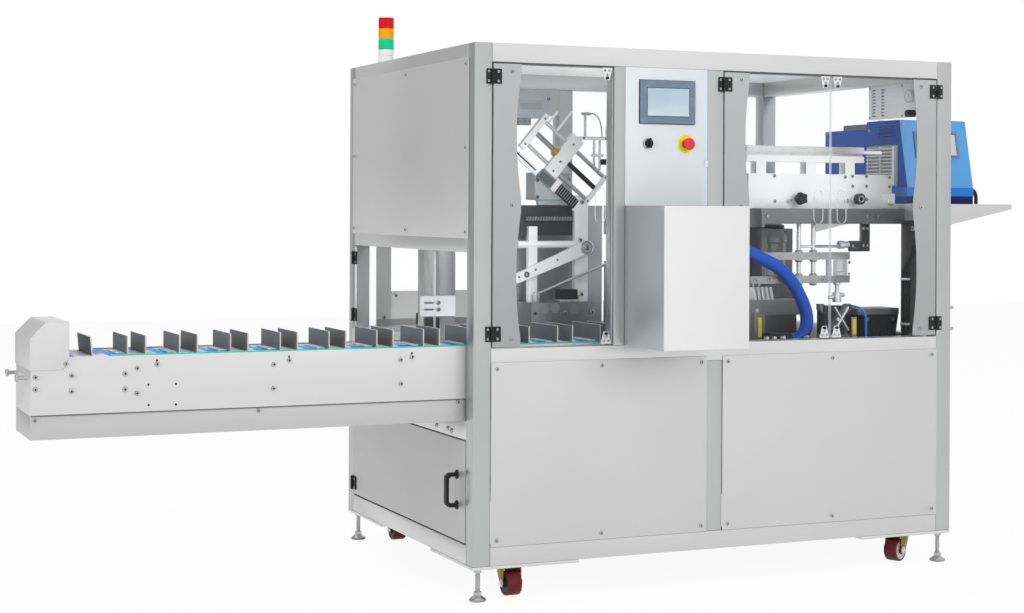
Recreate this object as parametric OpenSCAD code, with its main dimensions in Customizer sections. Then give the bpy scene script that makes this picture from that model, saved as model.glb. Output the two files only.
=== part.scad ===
// Automatic cartoner: glazed cabinet, paddle infeed conveyor, carton magazine and glue station.
// Millimetres. X runs along the front, Y into the depth, Z up from the floor.

/* [Cabinet] */
// Length of the cabinet along the front
cab_l = 1820; // [1760:10:1900]
// Depth of the cabinet
cab_w = 1230; // [1100:10:1400]
// Height of the cabinet above the underside of its frame
cab_h = 1650; // [1600:10:1800]
// Side of the square frame tube
tube = 60; // [54:1:66]
// Top of the sill rail under the glazed doors
sill_top = 685; // [670:1:700]
// Left face of the slim jamb beside the left door
jamb_x = 490; // [470:1:510]
// Width of the slim jamb
jamb_w = 40; // [30:1:50]
// Left face of the centre post
mid_x = 836; // [820:1:850]
// Line where the middle and right doors meet
meet_x = 1320; // [1280:1:1360]
// Underside of the left side rail over the infeed opening
gate_top = 988; // [960:1:1020]
// Front face of the right mid post behind the front face
side_post_y = 154; // [140:1:170]
// Thickness of the outer sheet panels
sheet_t = 3; // [2:0.5:4]
// Overlap of a sheet panel on the tubes round it
sheet_lap = 16; // [8:1:24]
// Thickness of the roof sheet
roof_t = 4; // [3:0.5:6]
// Thickness of the machine deck
deck_t = 12; // [8:1:16]

/* [Doors and guards] */
// Thickness of the clear door panes
pane_t = 8; // [6:0.5:10]
// Running gap round each door
door_gap = 5; // [5:0.5:6]
// Thickness of the steel hinge strip on a pane
strip_t = 2; // [1.5:0.5:3]
// Width of the hinge strip at its fixing screws
strip_w = 96; // [80:1:110]
// Depth of the two shallow scallops in the strip edge
scallop_d = 16; // [8:1:20]
// Width of the finger slot
slot_w = 36; // [28:1:44]
// Height of the finger slot
slot_h = 112; // [90:1:130]
// Finger slot centre from the meeting edge of the door
slot_in = 47; // [40:1:60]
// Depth of the folded lower side door
pan_d = 22; // [16:1:28]
// Sheet of the lower side door
pan_t = 3; // [2:0.5:4]
// Handle height over its two legs
grip_h = 110; // [90:1:130]
// Handle stand-off from the door
grip_out = 42; // [36:1:50]
// Handle bar thickness
grip_t = 12; // [10:1:16]
// Handle bar width
grip_w = 22; // [16:1:28]
// Handle centre from the free edge of the door
grip_in = 70; // [50:1:100]

/* [Hinges] */
// Height of a hinge
hinge_h = 48; // [40:1:60]
// Hinge centre from the end of its opening
hinge_in = 46; // [36:1:60]
// Hinge pin axis beyond the tube edge
hinge_edge = 1; // [0.5:0.5:2]
// Radius of the hinge knuckle
knuckle_r = 6; // [5:0.5:7]
// Radius of the hinge pin
pin_r = 3; // [2:0.5:4]
// Thickness of a hinge leaf
leaf_t = 4.5; // [3.5:0.5:5.5]
// Width of the leaf on the tube, from the pin
leaf_fix_w = 21; // [18:1:26]
// Width of the leaf on the door, from the pin
leaf_door_w = 31; // [26:1:36]

/* [Operator panel] */
// Lower edge of the operator panel
panel_lo = 1138; // [1110:1:1170]
// Depth of the operator housing
panel_d = 120; // [90:1:160]
// Stand-out of the front box
box_out = 272; // [220:1:320]
// Thickness of the front box cover
cover_t = 4; // [3:0.5:6]
// Width of the touch screen
screen_w = 208; // [180:1:230]
// Height of the touch screen
screen_h = 145; // [120:1:160]
// Thickness of the touch screen bezel
screen_t = 10; // [6:1:16]
// Centre height of the touch screen
screen_z = 1478; // [1460:1:1490]
// Screen centre above the two switches
switch_drop = 136; // [126:1:150]
// Distance between the two switches
switch_span = 142; // [120:1:170]
// Radius of the selector collar
collar_r = 15; // [13:0.5:18]
// Radius of the stop switch collar
stop_ring_r = 30; // [27:0.5:34]
// Radius of the stop mushroom
stop_r = 20; // [18:0.5:22]
// Travel of the stop mushroom
stop_travel = 4; // [3:0.5:5]

/* [Signal tower] */
// Radius of the signal tower
tower_r = 28; // [24:0.5:28]
// Height of one lens
lens_h = 38; // [30:1:44]
// Height of the tower foot
tower_foot_h = 46; // [36:1:60]
// Height of the tower cap
tower_cap_h = 8; // [6:0.5:12]
// Tower centre from the back of the cabinet
tower_back = 315; // [250:5:400]

/* [Feet and casters] */
// Height of the frame underside above the floor
foot_h = 112; // [108:1:116]
// Radius of a levelling foot pad
pad_r = 27; // [22:0.5:30]
// Height of a levelling foot pad
pad_h = 16; // [12:1:20]
// Radius of a levelling foot screw
stud_r = 8; // [6:0.5:10]
// Side of a corner plate
corner_l = 370; // [340:5:400]
// Thickness of a corner plate
corner_t = 10; // [8:0.5:12]
// Swivel axis from the side of the cabinet
cast_x = 155; // [140:1:170]
// Swivel axis from the front or back of the cabinet
cast_y = 84; // [76:1:100]
// Radius of a caster wheel
wheel_r = 40; // [38:0.5:41]
// Width of a caster tread
wheel_w = 48; // [44:1:52]
// Rest turn of the left and the back right casters
cast_turn = 90; // [60:5:120]
// Rest turn of the right front caster
cast_turn_fr = 26; // [10:2:40]
// Trail of a caster axle behind its swivel axis
trail = 28; // [24:1:32]
// Gap between a caster wheel and the floor on the set feet
wheel_lift = 4; // [3:0.5:5]
// Radius of the caster axle
axle_r = 5; // [4:0.5:6]
// Radius of the swivel king pin
king_r = 6; // [5:0.5:8]
// Thickness of the caster fork sheet
fork_t = 4; // [3:0.5:5]

/* [Infeed conveyor] */
// Reach of the conveyor beyond the left face
conv_out = 1348; // [1200:10:1400]
// Overall width of the conveyor
conv_w = 279; // [260:1:300]
// Height of the conveyor top above the sill
conv_rise = 6; // [4:1:10]
// Height of the conveyor side plates
plate_h = 168; // [160:1:180]
// Thickness of the conveyor side plates
plate_t = 8; // [6:0.5:10]
// Height of the lower tray
tray_h = 70; // [60:1:80]
// Inset of the lower tray from the side plates
tray_in = 4; // [2:0.5:6]
// Thickness of the slat chain
chain_t = 10; // [8:0.5:12]
// Gap between the slats and the side plates
chain_gap = 6; // [5:0.5:8]
// Pitch of the paddle pairs
pair_pitch = 155.6; // [150:0.1:160]
// Distance between the two paddles of a pair
pair_gap = 54; // [44:1:64]
// First paddle from the outer end of the side plates
pair_start = 283; // [275:1:300]
// Height of a paddle above the slats
paddle_h = 55; // [45:1:58]
// Width of a paddle
paddle_w = 210; // [180:1:220]
// Thickness of a paddle
paddle_t = 4; // [3:0.5:5]
// Length of the foot of a paddle
paddle_foot = 26; // [20:1:32]
// Height of the end cover above the conveyor top
hood_h = 102; // [80:1:120]
// Length of the end cover
hood_l = 112; // [100:1:120]
// Sheet of the end cover
hood_t = 3; // [2:0.5:4]
// Depth of the end cover below the conveyor top
hood_skirt = 36; // [28:1:44]
// Chamfer of the end cover
hood_chamfer = 46; // [30:1:60]
// Stand-out of the tension screws
screw_out = 34; // [24:1:44]
// Height of the wear strip
wear_h = 4; // [3:0.5:6]

/* [Carton magazine] */
// Magazine plane behind the front face
mag_y = 450; // [440:1:470]
// Upper bar centre from the left face
mag_x = 406; // [396:1:416]
// Upper bar centre above the deck
mag_z = 769; // [760:1:778]
// Slope of the magazine
mag_tilt = 40; // [38:0.5:42]
// Length of the magazine rods
mag_l = 316; // [300:1:330]
// Spread of the magazine rods from the middle
mag_half = 52; // [46:1:58]
// Radius of the magazine rods
mag_rod_r = 6; // [5:0.5:8]
// Half length of the magazine cross bars
bar_half = 75; // [70:1:80]
// Width of the magazine cross bars
bar_w = 22; // [18:1:26]
// Depth of the magazine cross bars
bar_d = 24; // [20:1:30]
// Width of the carrier plate of the magazine
carrier_w = 55; // [48:1:62]
// Carrier plate position along the rods
carrier_at = 112; // [106:1:118]
// Overhang of the carrier plate past the cross bars
carrier_over = 17; // [12:1:22]
// Width of the magazine end bar
end_w = 16; // [12:1:20]
// Reach of the carton hooks past the rods
hook_l = 60; // [50:1:70]
// Width of a carton hook
hook_w = 8; // [6:1:12]
// First carton hook along the rods
hook_at = 34; // [28:1:40]
// Distance between the carton hooks
hook_gap = 36; // [30:1:42]
// Length of the sensor head over the magazine
head_l = 114; // [104:1:124]
// Height of the sensor head
head_h = 56; // [50:1:62]
// Sensor head above the upper bar centre
head_up = 48; // [44:1:54]
// Sensor head left end from the upper bar centre
head_back = 68; // [60:1:76]
// Length of the sensor arm
sensor_l = 139; // [130:1:148]
// Sensor arm from the upper bar centre
sensor_at = 150; // [145:1:156]
// Drop of the sensor arm below the upper bar centre
sensor_drop = 26; // [22:1:30]
// Height of the sensor post
sensor_h = 94; // [84:1:104]

/* [Pick station] */
// Width of the station base
base_w = 241; // [236:1:250]
// Height of the station base
base_h = 180; // [170:1:190]
// Depth of the station base
base_d = 140; // [120:1:160]
// Left face of the station base from the left face of the cabinet
base_x = 379; // [374:1:382]
// Width of the station column
column_w = 51; // [46:1:56]
// Height of the station column above its base
column_h = 369; // [355:1:385]
// Thickness of the station column
column_t = 20; // [16:1:24]
// Width of the guide bar
guide_w = 32; // [26:1:36]
// Height of the guide bar above the base
guide_h = 261; // [250:1:275]
// Depth of the dark rack plate
rack_h = 104; // [96:1:110]
// Thickness of the dark rack plate
rack_t = 16; // [12:1:20]
// Pivot height of the pick arm above the deck
pivot_z = 368; // [358:1:376]
// Length of the pick arm
arm_l = 278; // [260:1:290]
// Slope of the pick arm
arm_tilt = 22; // [18:1:26]
// Width of the pick arm
arm_w = 30; // [24:1:36]
// Thickness of the pick arm
arm_t = 18; // [14:1:22]
// Height of the magazine motor
feeder_h = 96; // [88:1:104]
// Width of the magazine motor
feeder_w = 138; // [130:1:146]
// Depth of the magazine motor
feeder_d = 80; // [70:1:90]
// Front of the magazine motor behind the magazine plane
feeder_in = 10; // [8:1:12]
// Left face of the magazine motor from the station base
feeder_x = 36; // [30:1:42]
// Overhang of the cross rod past the guide bar
rod_over = 40; // [34:1:46]
// Cross rod above the arm pivot
rod_up = 11; // [8:1:14]
// Diameter of the cross rod
rod_d = 25; // [20:1:26]
// Width of the plate behind the station
wall_w = 328; // [310:1:340]
// Thickness of the plate behind the station
wall_t = 12; // [8:1:16]
// Side of the infeed post
infeed_w = 56; // [50:1:60]
// Left face of the infeed post from the left face of the cabinet
infeed_x = 64; // [62:1:72]
// Front of the infeed post from the front of the cabinet
infeed_y = 612; // [600:1:630]
// Height of the infeed post above the deck
infeed_h = 396; // [380:1:402]
// Width of the dark plate beside the infeed post
shade_w = 66; // [60:1:72]
// Width of the slotted guide plate on the infeed post
guard_w = 128; // [120:1:134]
// Height of the slotted guide plate
guard_h = 70; // [60:1:80]
// Underside of the slotted guide plate above the deck
guard_z = 129; // [120:1:140]
// Length of the slots in the guide plate
slot_run = 44; // [36:1:50]
// Height at which the pull rod starts above the deck
pull_z = 208; // [204:1:214]
// Rise of the pull rod
pull_rise = 104; // [96:1:112]
// Reach of the pull rod
pull_run = 271; // [262:1:280]
// Diameter of the pull rod
pull_d = 10; // [8:1:12]

/* [Glue station] */
// Dark beam front face behind the front face
beam_y = 190; // [180:1:200]
// Left end of the dark beam from the right face
beam_l = 655; // [640:1:670]
// Height of the dark beam
beam_h = 54; // [48:1:60]
// Depth of the dark beam
beam_d = 60; // [54:1:66]
// Top of the dark beam above the deck
beam_top = 507; // [495:1:515]
// Length of the press rail
rail_l = 602; // [590:1:614]
// Height of the press rail
rail_h = 123; // [110:1:136]
// Thickness of the press rail
rail_t = 12; // [10:1:16]
// Side of the top extrusion
extr = 56; // [48:1:64]
// Length of the top extrusion
extr_l = 490; // [470:1:510]
// Gap between the press rail and the top extrusion
extr_gap = 42; // [34:1:50]
// Length of the nozzle bars
nozzle_l = 410; // [395:1:420]
// Radius of the nozzle rods
nozzle_rod_r = 8; // [6:0.5:10]
// Drop of the upper nozzle bar below the beam
hang_hi = 101; // [95:1:107]
// Drop of the lower nozzle bar below the beam
hang_lo = 184; // [178:1:190]
// Lead of the nozzle bars before the beam
nozzle_lead = 38; // [30:1:44]
// Depth of the nozzle bars
nozzle_d = 26; // [22:1:30]
// First hanger rod from the beam end
hanger_x = 166; // [158:1:174]
// Distance between the hanger rods
hanger_gap = 60; // [54:1:66]
// Nozzle cylinder from the beam end
cyl_x = 291; // [284:1:298]
// Width of the nozzle cylinder
cyl_w = 71; // [64:1:78]
// Length of the nozzle below the lower bar
nozzle_drop = 60; // [54:1:66]
// L bracket from the beam end
foot_x = 425; // [418:1:432]
// Width of the L bracket
foot_w = 36; // [30:1:42]
// Reach of the L bracket toe
toe_l = 48; // [42:1:54]
// Height of the L bracket toe
toe_h = 38; // [32:1:44]
// Star knob from the left end of the press rail
knob_a = 195; // [185:1:205]
// Round knob from the left end of the press rail
knob_b = 441; // [430:1:452]
// Knob height above the beam
knob_z = 35; // [30:1:40]
// Radius of the star knob
knob_r = 19; // [16:0.5:22]
// Stand-out of the knobs from the press rail
knob_out = 44; // [38:1:50]
// Width of the end block of the press rail
stop_w = 42; // [36:1:48]
// Height of the end block of the press rail
stop_h = 55; // [48:1:62]
// Length of the rod handle
lever_l = 91; // [80:1:100]
// Width of a scale block
scale_w = 44; // [38:1:50]
// Height of a scale block
scale_h = 134; // [120:1:145]
// First scale block from the beam end
scale_a = 52; // [46:1:58]
// Distance between the scale blocks
scale_gap = 397; // [390:1:404]
// Scale blocks behind the beam front
scale_y = 140; // [132:1:148]
// Folding plates from the beam end
fold_x = 253; // [246:1:260]
// Width of the folding plates
fold_w = 120; // [112:1:128]
// Top of the folding plates above the deck
fold_h = 176; // [170:1:182]
// Height of the folding plate base
fold_base = 58; // [52:1:64]
// Strip width of the folding plates
fold_t = 20; // [16:1:24]
// Valve block from the beam end
valve_x = 100; // [94:1:106]
// Width of the valve block
valve_w = 204; // [196:1:212]
// Height of the valve block
valve_h = 173; // [165:1:180]
// Depth of the valve block
valve_d = 80; // [70:1:90]
// Valve block behind the beam front
valve_y = 260; // [250:1:270]
// Height of the slanted valves
valve_up = 46; // [40:1:52]
// Turning head from the beam end
turn_x = 167; // [160:1:174]
// Width of the turning head
turn_w = 131; // [124:1:138]
// Height of the turning head
turn_h = 176; // [168:1:184]
// Top of the turning head above the deck
turn_top = 433; // [425:1:440]
// Drive motor width at its cover
motor_w = 155; // [146:1:164]
// Drive motor taper on each side
motor_in = 20; // [14:1:26]
// Drive motor height to its cover
motor_h = 127; // [120:1:134]
// Drive motor depth
motor_d = 110; // [100:1:120]
// Thickness of the motor cover
lid_t = 22; // [18:1:26]
// Overhang of the motor cover at its left end
lid_over = 20; // [14:1:26]
// Air plate front edge behind the front face
air_y = 120; // [110:1:130]
// Width of the gauge plate
gauge_w = 136; // [130:1:142]
// Width of the vent plate
vent_w = 202; // [194:1:210]
// Height of the air plates
air_h = 126; // [118:1:134]
// Thickness of the air plates
air_t = 3; // [2:0.5:4]
// Radius of the gauge
gauge_r = 22; // [19:0.5:25]
// Gauge stand-out
gauge_out = 16; // [12:1:20]
// Outside radius of the thin air line
line_r = 4; // [3:0.5:5]
// Outside radius of the air hose
hose_r = 23; // [20:0.5:25]

/* [Glue unit] */
// Shelf reach beyond the right face
shelf_l = 466; // [440:1:490]
// Shelf front edge behind the front face
shelf_y = 250; // [230:1:270]
// Shelf depth
shelf_w = 650; // [630:1:670]
// Shelf top above the underside of the frame
shelf_top = 1151; // [1140:1:1165]
// Shelf sheet thickness
shelf_t = 18; // [14:1:22]
// Height of the shelf gussets below the sheet
gusset_h = 97; // [80:1:110]
// Gusset thickness
gusset_t = 6; // [4:0.5:8]
// Width of the glue unit
unit_w = 300; // [270:1:330]
// Height of the glue unit
unit_h = 315; // [290:1:340]
// Depth of the glue unit
unit_d = 550; // [520:1:570]
// Glue unit from the right face of the cabinet
unit_x = 51; // [40:1:60]
// Glue unit front behind the shelf front edge
unit_y = 80; // [60:1:90]
// Lean of the glue unit front
unit_lean = 52; // [44:1:60]
// Height of the glue unit skirt
unit_skirt = 62; // [54:1:70]
// Depth of the high part of the glue unit
unit_head = 265; // [250:1:280]
// Drop of the tank behind the high part
unit_step = 28; // [24:1:32]
// Length of the tank lid
tank_lid = 203; // [190:1:215]
// Height of the tank lid
tank_lid_h = 22; // [16:1:24]
// Stand-out of the cooling block
cool_out = 14; // [10:1:18]
// Width of the cooling block
cool_w = 170; // [160:1:180]
// Height of the cooling block
cool_h = 150; // [140:1:160]
// Thickness of the display frame
show_t = 6; // [4:0.5:8]
// Width of the display frame
show_w = 196; // [185:1:205]
// Height of the display frame
show_h = 102; // [94:1:110]

/* [Hidden] */
$fn = 48;
eps = 0.01;
run = 0.1;
face_gap = 0.5;
mid_r = mid_x + tube;
jamb_r = jamb_x + jamb_w;
right_in = cab_l - tube;
back_in = cab_w - tube;
top_lo = cab_h - tube;
sill_lo = sill_top - tube;
deck_top = sill_lo;
deck_lo = deck_top - deck_t;
conv_y = tube + chain_gap;
conv_back = conv_y + conv_w;
deck_front = conv_back + chain_gap;
conv_top = sill_top + conv_rise;
plate_lo = conv_top - plate_h;
tray_lo = plate_lo - tray_h;
cross_lo = tray_lo - tube;
mid_rail_top = gate_top + tube;
shelf_rail_top = shelf_top;
shelf_rail_lo = shelf_rail_top - tube;
// Whole-part box, used to put the origin at the middle of the footprint
x_min = -conv_out - hood_t - screw_out;
x_max = cab_l + shelf_l;
y_min = -box_out;
y_max = cab_w + sheet_t;
shift = [-(x_min + x_max) / 2, -(y_min + y_max) / 2, foot_h];
// Hinge frame: pin axis in front of the tube face
axis_off = knuckle_r + face_gap;
knuckle_h = hinge_h / 3;
leaf_clear = knuckle_r + 2 * face_gap;
// Caster heights
crown_t = 7;
king_l = crown_t + 2 * face_gap;
seat_t = 4;
seat_lo = -corner_t - seat_t;
axle_z = -foot_h + wheel_lift + wheel_r;
fork_gap = 5;
fork_in = wheel_w / 2 + fork_gap;
crown_r = 27;
tread_t = 9;
hub_r = 14;
// Conveyor internals
drum_r = (plate_h - 24) / 2 - chain_t;
chain_r = drum_r + chain_t;
drum_z = conv_top - chain_r;
drum_a = -conv_out + chain_r + 16;
conv_in = mid_r - chain_gap;
drum_b = conv_in - chain_r - 16;
shaft_r = 15;
pair_n = floor((drum_b - (pair_start - conv_out) - pair_gap) / pair_pitch) + 1;
end_t = 4;
// Doors and their running gaps
door_lo = sill_top + door_gap;
door_hi = top_lo - door_gap;
side_lo = tube + door_gap;
side_hi = cross_lo - door_gap;
side_front = tube + door_gap;
side_back = back_in - door_gap;
// Operator panel places
panel_cx = (jamb_r + mid_x) / 2;
collar_h = 8;
stem_r = 8;
sel_x = panel_cx - switch_span / 2;
stop_x = panel_cx + switch_span / 2;
switch_z = screen_z - switch_drop;
// Signal tower places
tower_x = tube / 2;
tower_y = cab_w - tower_back;
lens_z = cab_h + tower_foot_h;
// Pick station places
base_y = mag_y - base_d / 3;
base_top = deck_top + base_h;
column_x = base_x + base_w - column_w - 5;
rack_y = mag_y + column_t;
guide_x = base_x + 10;
rack_top = base_top + guide_h + 73;
feeder_foot = 18;
// Glue station places
beam_x = cab_l - beam_l;
beam_z = deck_top + beam_top;
rail_y = beam_y + beam_d - rail_t + 2;
rail_x = beam_x - 29;
hang_y = beam_y + beam_d / 2;
bar_t = 26;
stop_x0 = rail_x + rail_l - stop_w;
line_route = [
  [1538, 180, 783], [1545, 180, 783], [1552, 180, 781.5], [1558, 180, 779.6], [1564, 180, 776.6],
  [1569, 180, 773.2], [1574, 180, 768.9], [1578, 180, 764.2], [1581.6, 180, 759], [1584.4, 180, 753.4],
  [1586.4, 180, 747.4], [1587.6, 180, 741.3], [1588, 180, 735], [1588, 180, 720], [1588, 180, 705],
  [1588, 180, 690], [1588, 180, 675], [1588, 180, 660], [1588, 180, 648]
];
line_sides = 8;
hose_route = [
  [930, 172, 1032], [950, 172, 1032], [982, 172, 1028], [1031, 172, 1011], [1064, 172, 996],
  [1098, 172, 981], [1144, 172, 960], [1190, 172, 940], [1222, 172, 921], [1254, 172, 895],
  [1284, 172, 860], [1308, 172, 822], [1324, 172, 790], [1333, 172, 760], [1335, 172, 732],
  [1329, 172, 706], [1314, 172, 686], [1294, 172, 675], [1276, 172, 672], [1264, 172, 672]
];
hose_sides = 10;

// Box between two opposite corners
module span(a, b) {
  translate(a) cube(b - a);
}

// Round bars along the three axes
module bar_x(x0, x1, y, z, r) {
  translate([x0, y, z]) rotate([0, 90, 0]) cylinder(h = x1 - x0, r = r);
}
module bar_y(y0, y1, x, z, r) {
  translate([x, y0, z]) rotate([-90, 0, 0]) cylinder(h = y1 - y0, r = r);
}
module bar_z(z0, z1, x, y, r) {
  translate([x, y, z0]) cylinder(h = z1 - z0, r = r);
}

// Outline in X and Z, drawn out along Y
module slab_y(y0, y1, points) {
  translate([0, y1, 0]) rotate([90, 0, 0]) linear_extrude(height = y1 - y0) polygon(points);
}

// Outline in Y and Z, drawn out along X
module slab_x(x0, x1, points) {
  translate([x0, 0, 0]) rotate([90, 0, 90]) linear_extrude(height = x1 - x0) polygon(points);
}

// Tube swept along a list of points that stay in one X Z plane
function unit(v) = v / norm(v);
function route_dir(p, i) =
  unit(p[min(i + 1, len(p) - 1)] - p[max(i - 1, 0)]);
function ring(p, i, r, n) =
  let (t = route_dir(p, i), s = [0, 1, 0], u = cross(s, t))
  [for (k = [0 : n - 1]) p[i] + r * (cos(360 * k / n) * s + sin(360 * k / n) * u)];
module sweep(p, r, n) {
  m = len(p);
  points = [for (i = [0 : m - 1]) each ring(p, i, r, n)];
  sides = [for (i = [0 : m - 2]) for (k = [0 : n - 1])
    [i * n + k, (i + 1) * n + k, (i + 1) * n + (k + 1) % n, i * n + (k + 1) % n]];
  first = [for (k = [0 : n - 1]) k];
  last = [for (k = [0 : n - 1]) (m - 1) * n + n - 1 - k];
  polyhedron(points = points, faces = concat([first], [last], sides));
}

module frame_posts() {
  color("silver") translate(shift) {
    for (x = [0, right_in]) for (y = [0, back_in]) span([x, y, 0], [x + tube, y + tube, cab_h]);
    for (y = [0, back_in]) {
      span([mid_x, y, tube], [mid_r, y + tube, sill_lo]);
      span([mid_x, y, sill_top], [mid_r, y + tube, top_lo]);
    }
    span([jamb_x, 0, sill_top], [jamb_r, tube, top_lo]);
    span([right_in, side_post_y, sill_top], [cab_l, side_post_y + tube, shelf_rail_lo]);
    for (x = [0, mid_x, right_in]) for (y = [deck_front, back_in - tube])
      span([x, y, tray_lo], [x + tube, y + tube, deck_lo]);
  }
}

module frame_rails_x() {
  color("silver") translate(shift) for (y = [0, back_in]) for (z = [0, sill_lo, top_lo])
    span([tube, y, z], [right_in, y + tube, z + tube]);
}

module frame_rails_y() {
  color("silver") translate(shift) {
    for (x = [0, right_in]) for (z = [0, cross_lo, top_lo])
      span([x, tube, z], [x + tube, back_in, z + tube]);
    for (z = [0, cross_lo]) span([mid_x, tube, z], [mid_r, back_in, z + tube]);
    span([0, deck_front, sill_lo], [tube, back_in, sill_top]);
    span([right_in, tube, sill_lo], [cab_l, back_in, sill_top]);
    span([0, tube, gate_top], [tube, back_in, mid_rail_top]);
    span([right_in, tube, shelf_rail_lo], [cab_l, back_in, shelf_rail_top]);
  }
}

module roof_panel() {
  color("gainsboro") translate(shift)
    span([tube, tube, cab_h - roof_t], [right_in, back_in, cab_h]);
}

module deck_plate() {
  color("silver") translate(shift) translate([0, 0, deck_lo]) linear_extrude(height = deck_t)
    polygon([[0, deck_front], [mid_r, deck_front], [mid_r, tube], [cab_l, tube], [cab_l, back_in],
      [0, back_in]]);
}

module sheet_panels() {
  color("lightsteelblue") translate(shift) {
    for (y = [-sheet_t, cab_w]) {
      span([tube, y, tube], [mid_x, y + sheet_t, sill_lo + sheet_lap]);
      span([mid_r, y, tube], [right_in, y + sheet_t, sill_lo + sheet_lap]);
    }
    span([-sheet_t, tube - sheet_lap, mid_rail_top - sheet_lap],
      [0, back_in + sheet_lap, top_lo + sheet_lap]);
    span([-sheet_t, deck_front, tray_lo], [0, back_in + sheet_lap, sill_top - door_gap]);
    span([cab_l, tube - sheet_lap, tube], [cab_l + sheet_t, back_in + sheet_lap, sill_lo + sheet_lap]);
  }
}

module guard_windows() {
  back_y = back_in + tube / 2;
  right_x = right_in + tube / 2;
  color("azure", 0.4) translate(shift) {
    span([tube, back_y, sill_top], [mid_x, back_y + pane_t, top_lo]);
    span([mid_r, back_y, sill_top], [right_in, back_y + pane_t, top_lo]);
    span([right_x, tube, sill_top], [right_x + pane_t, side_post_y, shelf_rail_lo]);
    span([right_x, side_post_y + tube, sill_top], [right_x + pane_t, back_in, shelf_rail_lo]);
    span([right_x, tube, shelf_rail_top], [right_x + pane_t, back_in, top_lo]);
  }
}

// One corner plate with its caster seat and king pin, at the left front corner
module corner_plate() {
  translate([0, 0, -corner_t]) linear_extrude(height = corner_t)
    polygon([[0, 0], [corner_l, 0], [corner_l, corner_l / 3], [corner_l / 3, corner_l], [0, corner_l]]);
  translate([cast_x, cast_y, seat_lo]) cylinder(h = seat_t, r = crown_r + seat_t);
  bar_z(seat_lo - king_l - seat_t, seat_lo + eps, cast_x, cast_y, king_r);
}

// The four corners of the cabinet, by mirroring
module at_corners() {
  for (a = [0, 1]) for (b = [0, 1])
    translate([a * cab_l, b * cab_w, 0]) mirror([a, 0, 0]) mirror([0, b, 0]) children();
}

module corner_plates() {
  color("silver") translate(shift) at_corners() corner_plate();
}

module levelling_feet() {
  nut_r = 2 * stud_r - 2;
  nut_h = stud_r + 2;
  color("dimgray") translate(shift) at_corners() translate([tube / 2, tube / 2, 0]) {
    translate([0, 0, -foot_h]) cylinder(h = pad_h / 2, r = pad_r);
    translate([0, 0, -foot_h + pad_h / 2]) cylinder(h = pad_h / 2, r1 = pad_r, r2 = nut_r);
    translate([0, 0, -foot_h]) cylinder(h = foot_h - corner_t, r = stud_r);
    translate([0, 0, -foot_h + pad_h]) cylinder(h = nut_h, r = nut_r, $fn = 6);
    translate([0, 0, -corner_t - nut_h]) cylinder(h = nut_h, r = nut_r, $fn = 6);
  }
}

// Hinge leaf on the tube: outer knuckles and the pin; pin axis on Z, tube face towards -X
module leaf_fixed() {
  translate([0, 0, -hinge_h / 2]) {
    span([-leaf_fix_w, axis_off - leaf_t, 0], [-leaf_clear, axis_off, hinge_h]);
    for (z = [0, hinge_h - knuckle_h + face_gap]) translate([0, 0, z]) {
      span([-leaf_clear - eps, axis_off - leaf_t, 0], [0, axis_off, knuckle_h - face_gap]);
      cylinder(h = knuckle_h - face_gap, r = knuckle_r);
    }
    cylinder(h = hinge_h, r = pin_r);
  }
}

// Hinge leaf on the door: the middle knuckle, bored for the pin
module leaf_moving() {
  translate([0, 0, -hinge_h / 2]) difference() {
    union() {
      span([leaf_clear, axis_off - leaf_t, 0], [leaf_door_w, axis_off, hinge_h]);
      span([0, axis_off - leaf_t, knuckle_h], [leaf_clear + eps, axis_off, 2 * knuckle_h]);
      translate([0, 0, knuckle_h]) cylinder(h = knuckle_h, r = knuckle_r);
    }
    translate([0, 0, -eps]) cylinder(h = hinge_h + 2 * eps, r = pin_r + run);
  }
}

// Places of the hinges of each door
module at_left_door() {
  for (z = [sill_top + hinge_in, top_lo - hinge_in]) translate([tube + hinge_edge, -axis_off, z]) children();
}
module at_mid_door() {
  for (z = [sill_top + hinge_in, top_lo - hinge_in])
    translate([mid_r + hinge_edge, -axis_off, z]) children();
}
module at_right_door() {
  for (z = [sill_top + hinge_in, top_lo - hinge_in])
    translate([right_in - hinge_edge, -axis_off, z]) mirror([1, 0, 0]) children();
}
module at_side_door() {
  for (z = [tube + hinge_in, cross_lo - hinge_in])
    translate([-axis_off, back_in - hinge_edge, z]) rotate([0, 0, -90]) children();
}
module at_side_guard() {
  for (z = [sill_top + hinge_in, gate_top - hinge_in])
    translate([-axis_off, back_in - hinge_edge, z]) rotate([0, 0, -90]) children();
}

module fixed_hinge_leaves() {
  color("dimgray") translate(shift) {
    at_left_door() leaf_fixed();
    at_mid_door() leaf_fixed();
    at_right_door() leaf_fixed();
    at_side_door() leaf_fixed();
    at_side_guard() leaf_fixed();
  }
}

// Clear pane with its finger slot
module pane(x0, x1, slot_x) {
  slot_z = (door_lo + door_hi) / 2;
  slot_r = slot_w / 2;
  straight = slot_h / 2 - slot_r;
  back = strip_t + pane_t;
  difference() {
    span([x0, strip_t, door_lo], [x1, back, door_hi]);
    span([slot_x - slot_r, 0, slot_z - straight], [slot_x + slot_r, back + 1, slot_z + straight]);
    for (z = [slot_z - straight, slot_z + straight]) bar_y(0, back + 1, slot_x, z, slot_r);
  }
}

// Steel strip with two shallow scallops; its straight edge lies at x = 0
module strip() {
  h = door_hi - door_lo;
  chord = h / 2 - strip_w / 2;
  r = (chord * chord / 4 + scallop_d * scallop_d) / (2 * scallop_d);
  difference() {
    span([0, 0, door_lo], [strip_w, strip_t, door_hi]);
    for (z = [door_lo + h / 4, door_lo + 3 * h / 4])
      bar_y(-1, strip_t + 1, strip_w - scallop_d + r, z, r, $fn = 200);
  }
}

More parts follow.
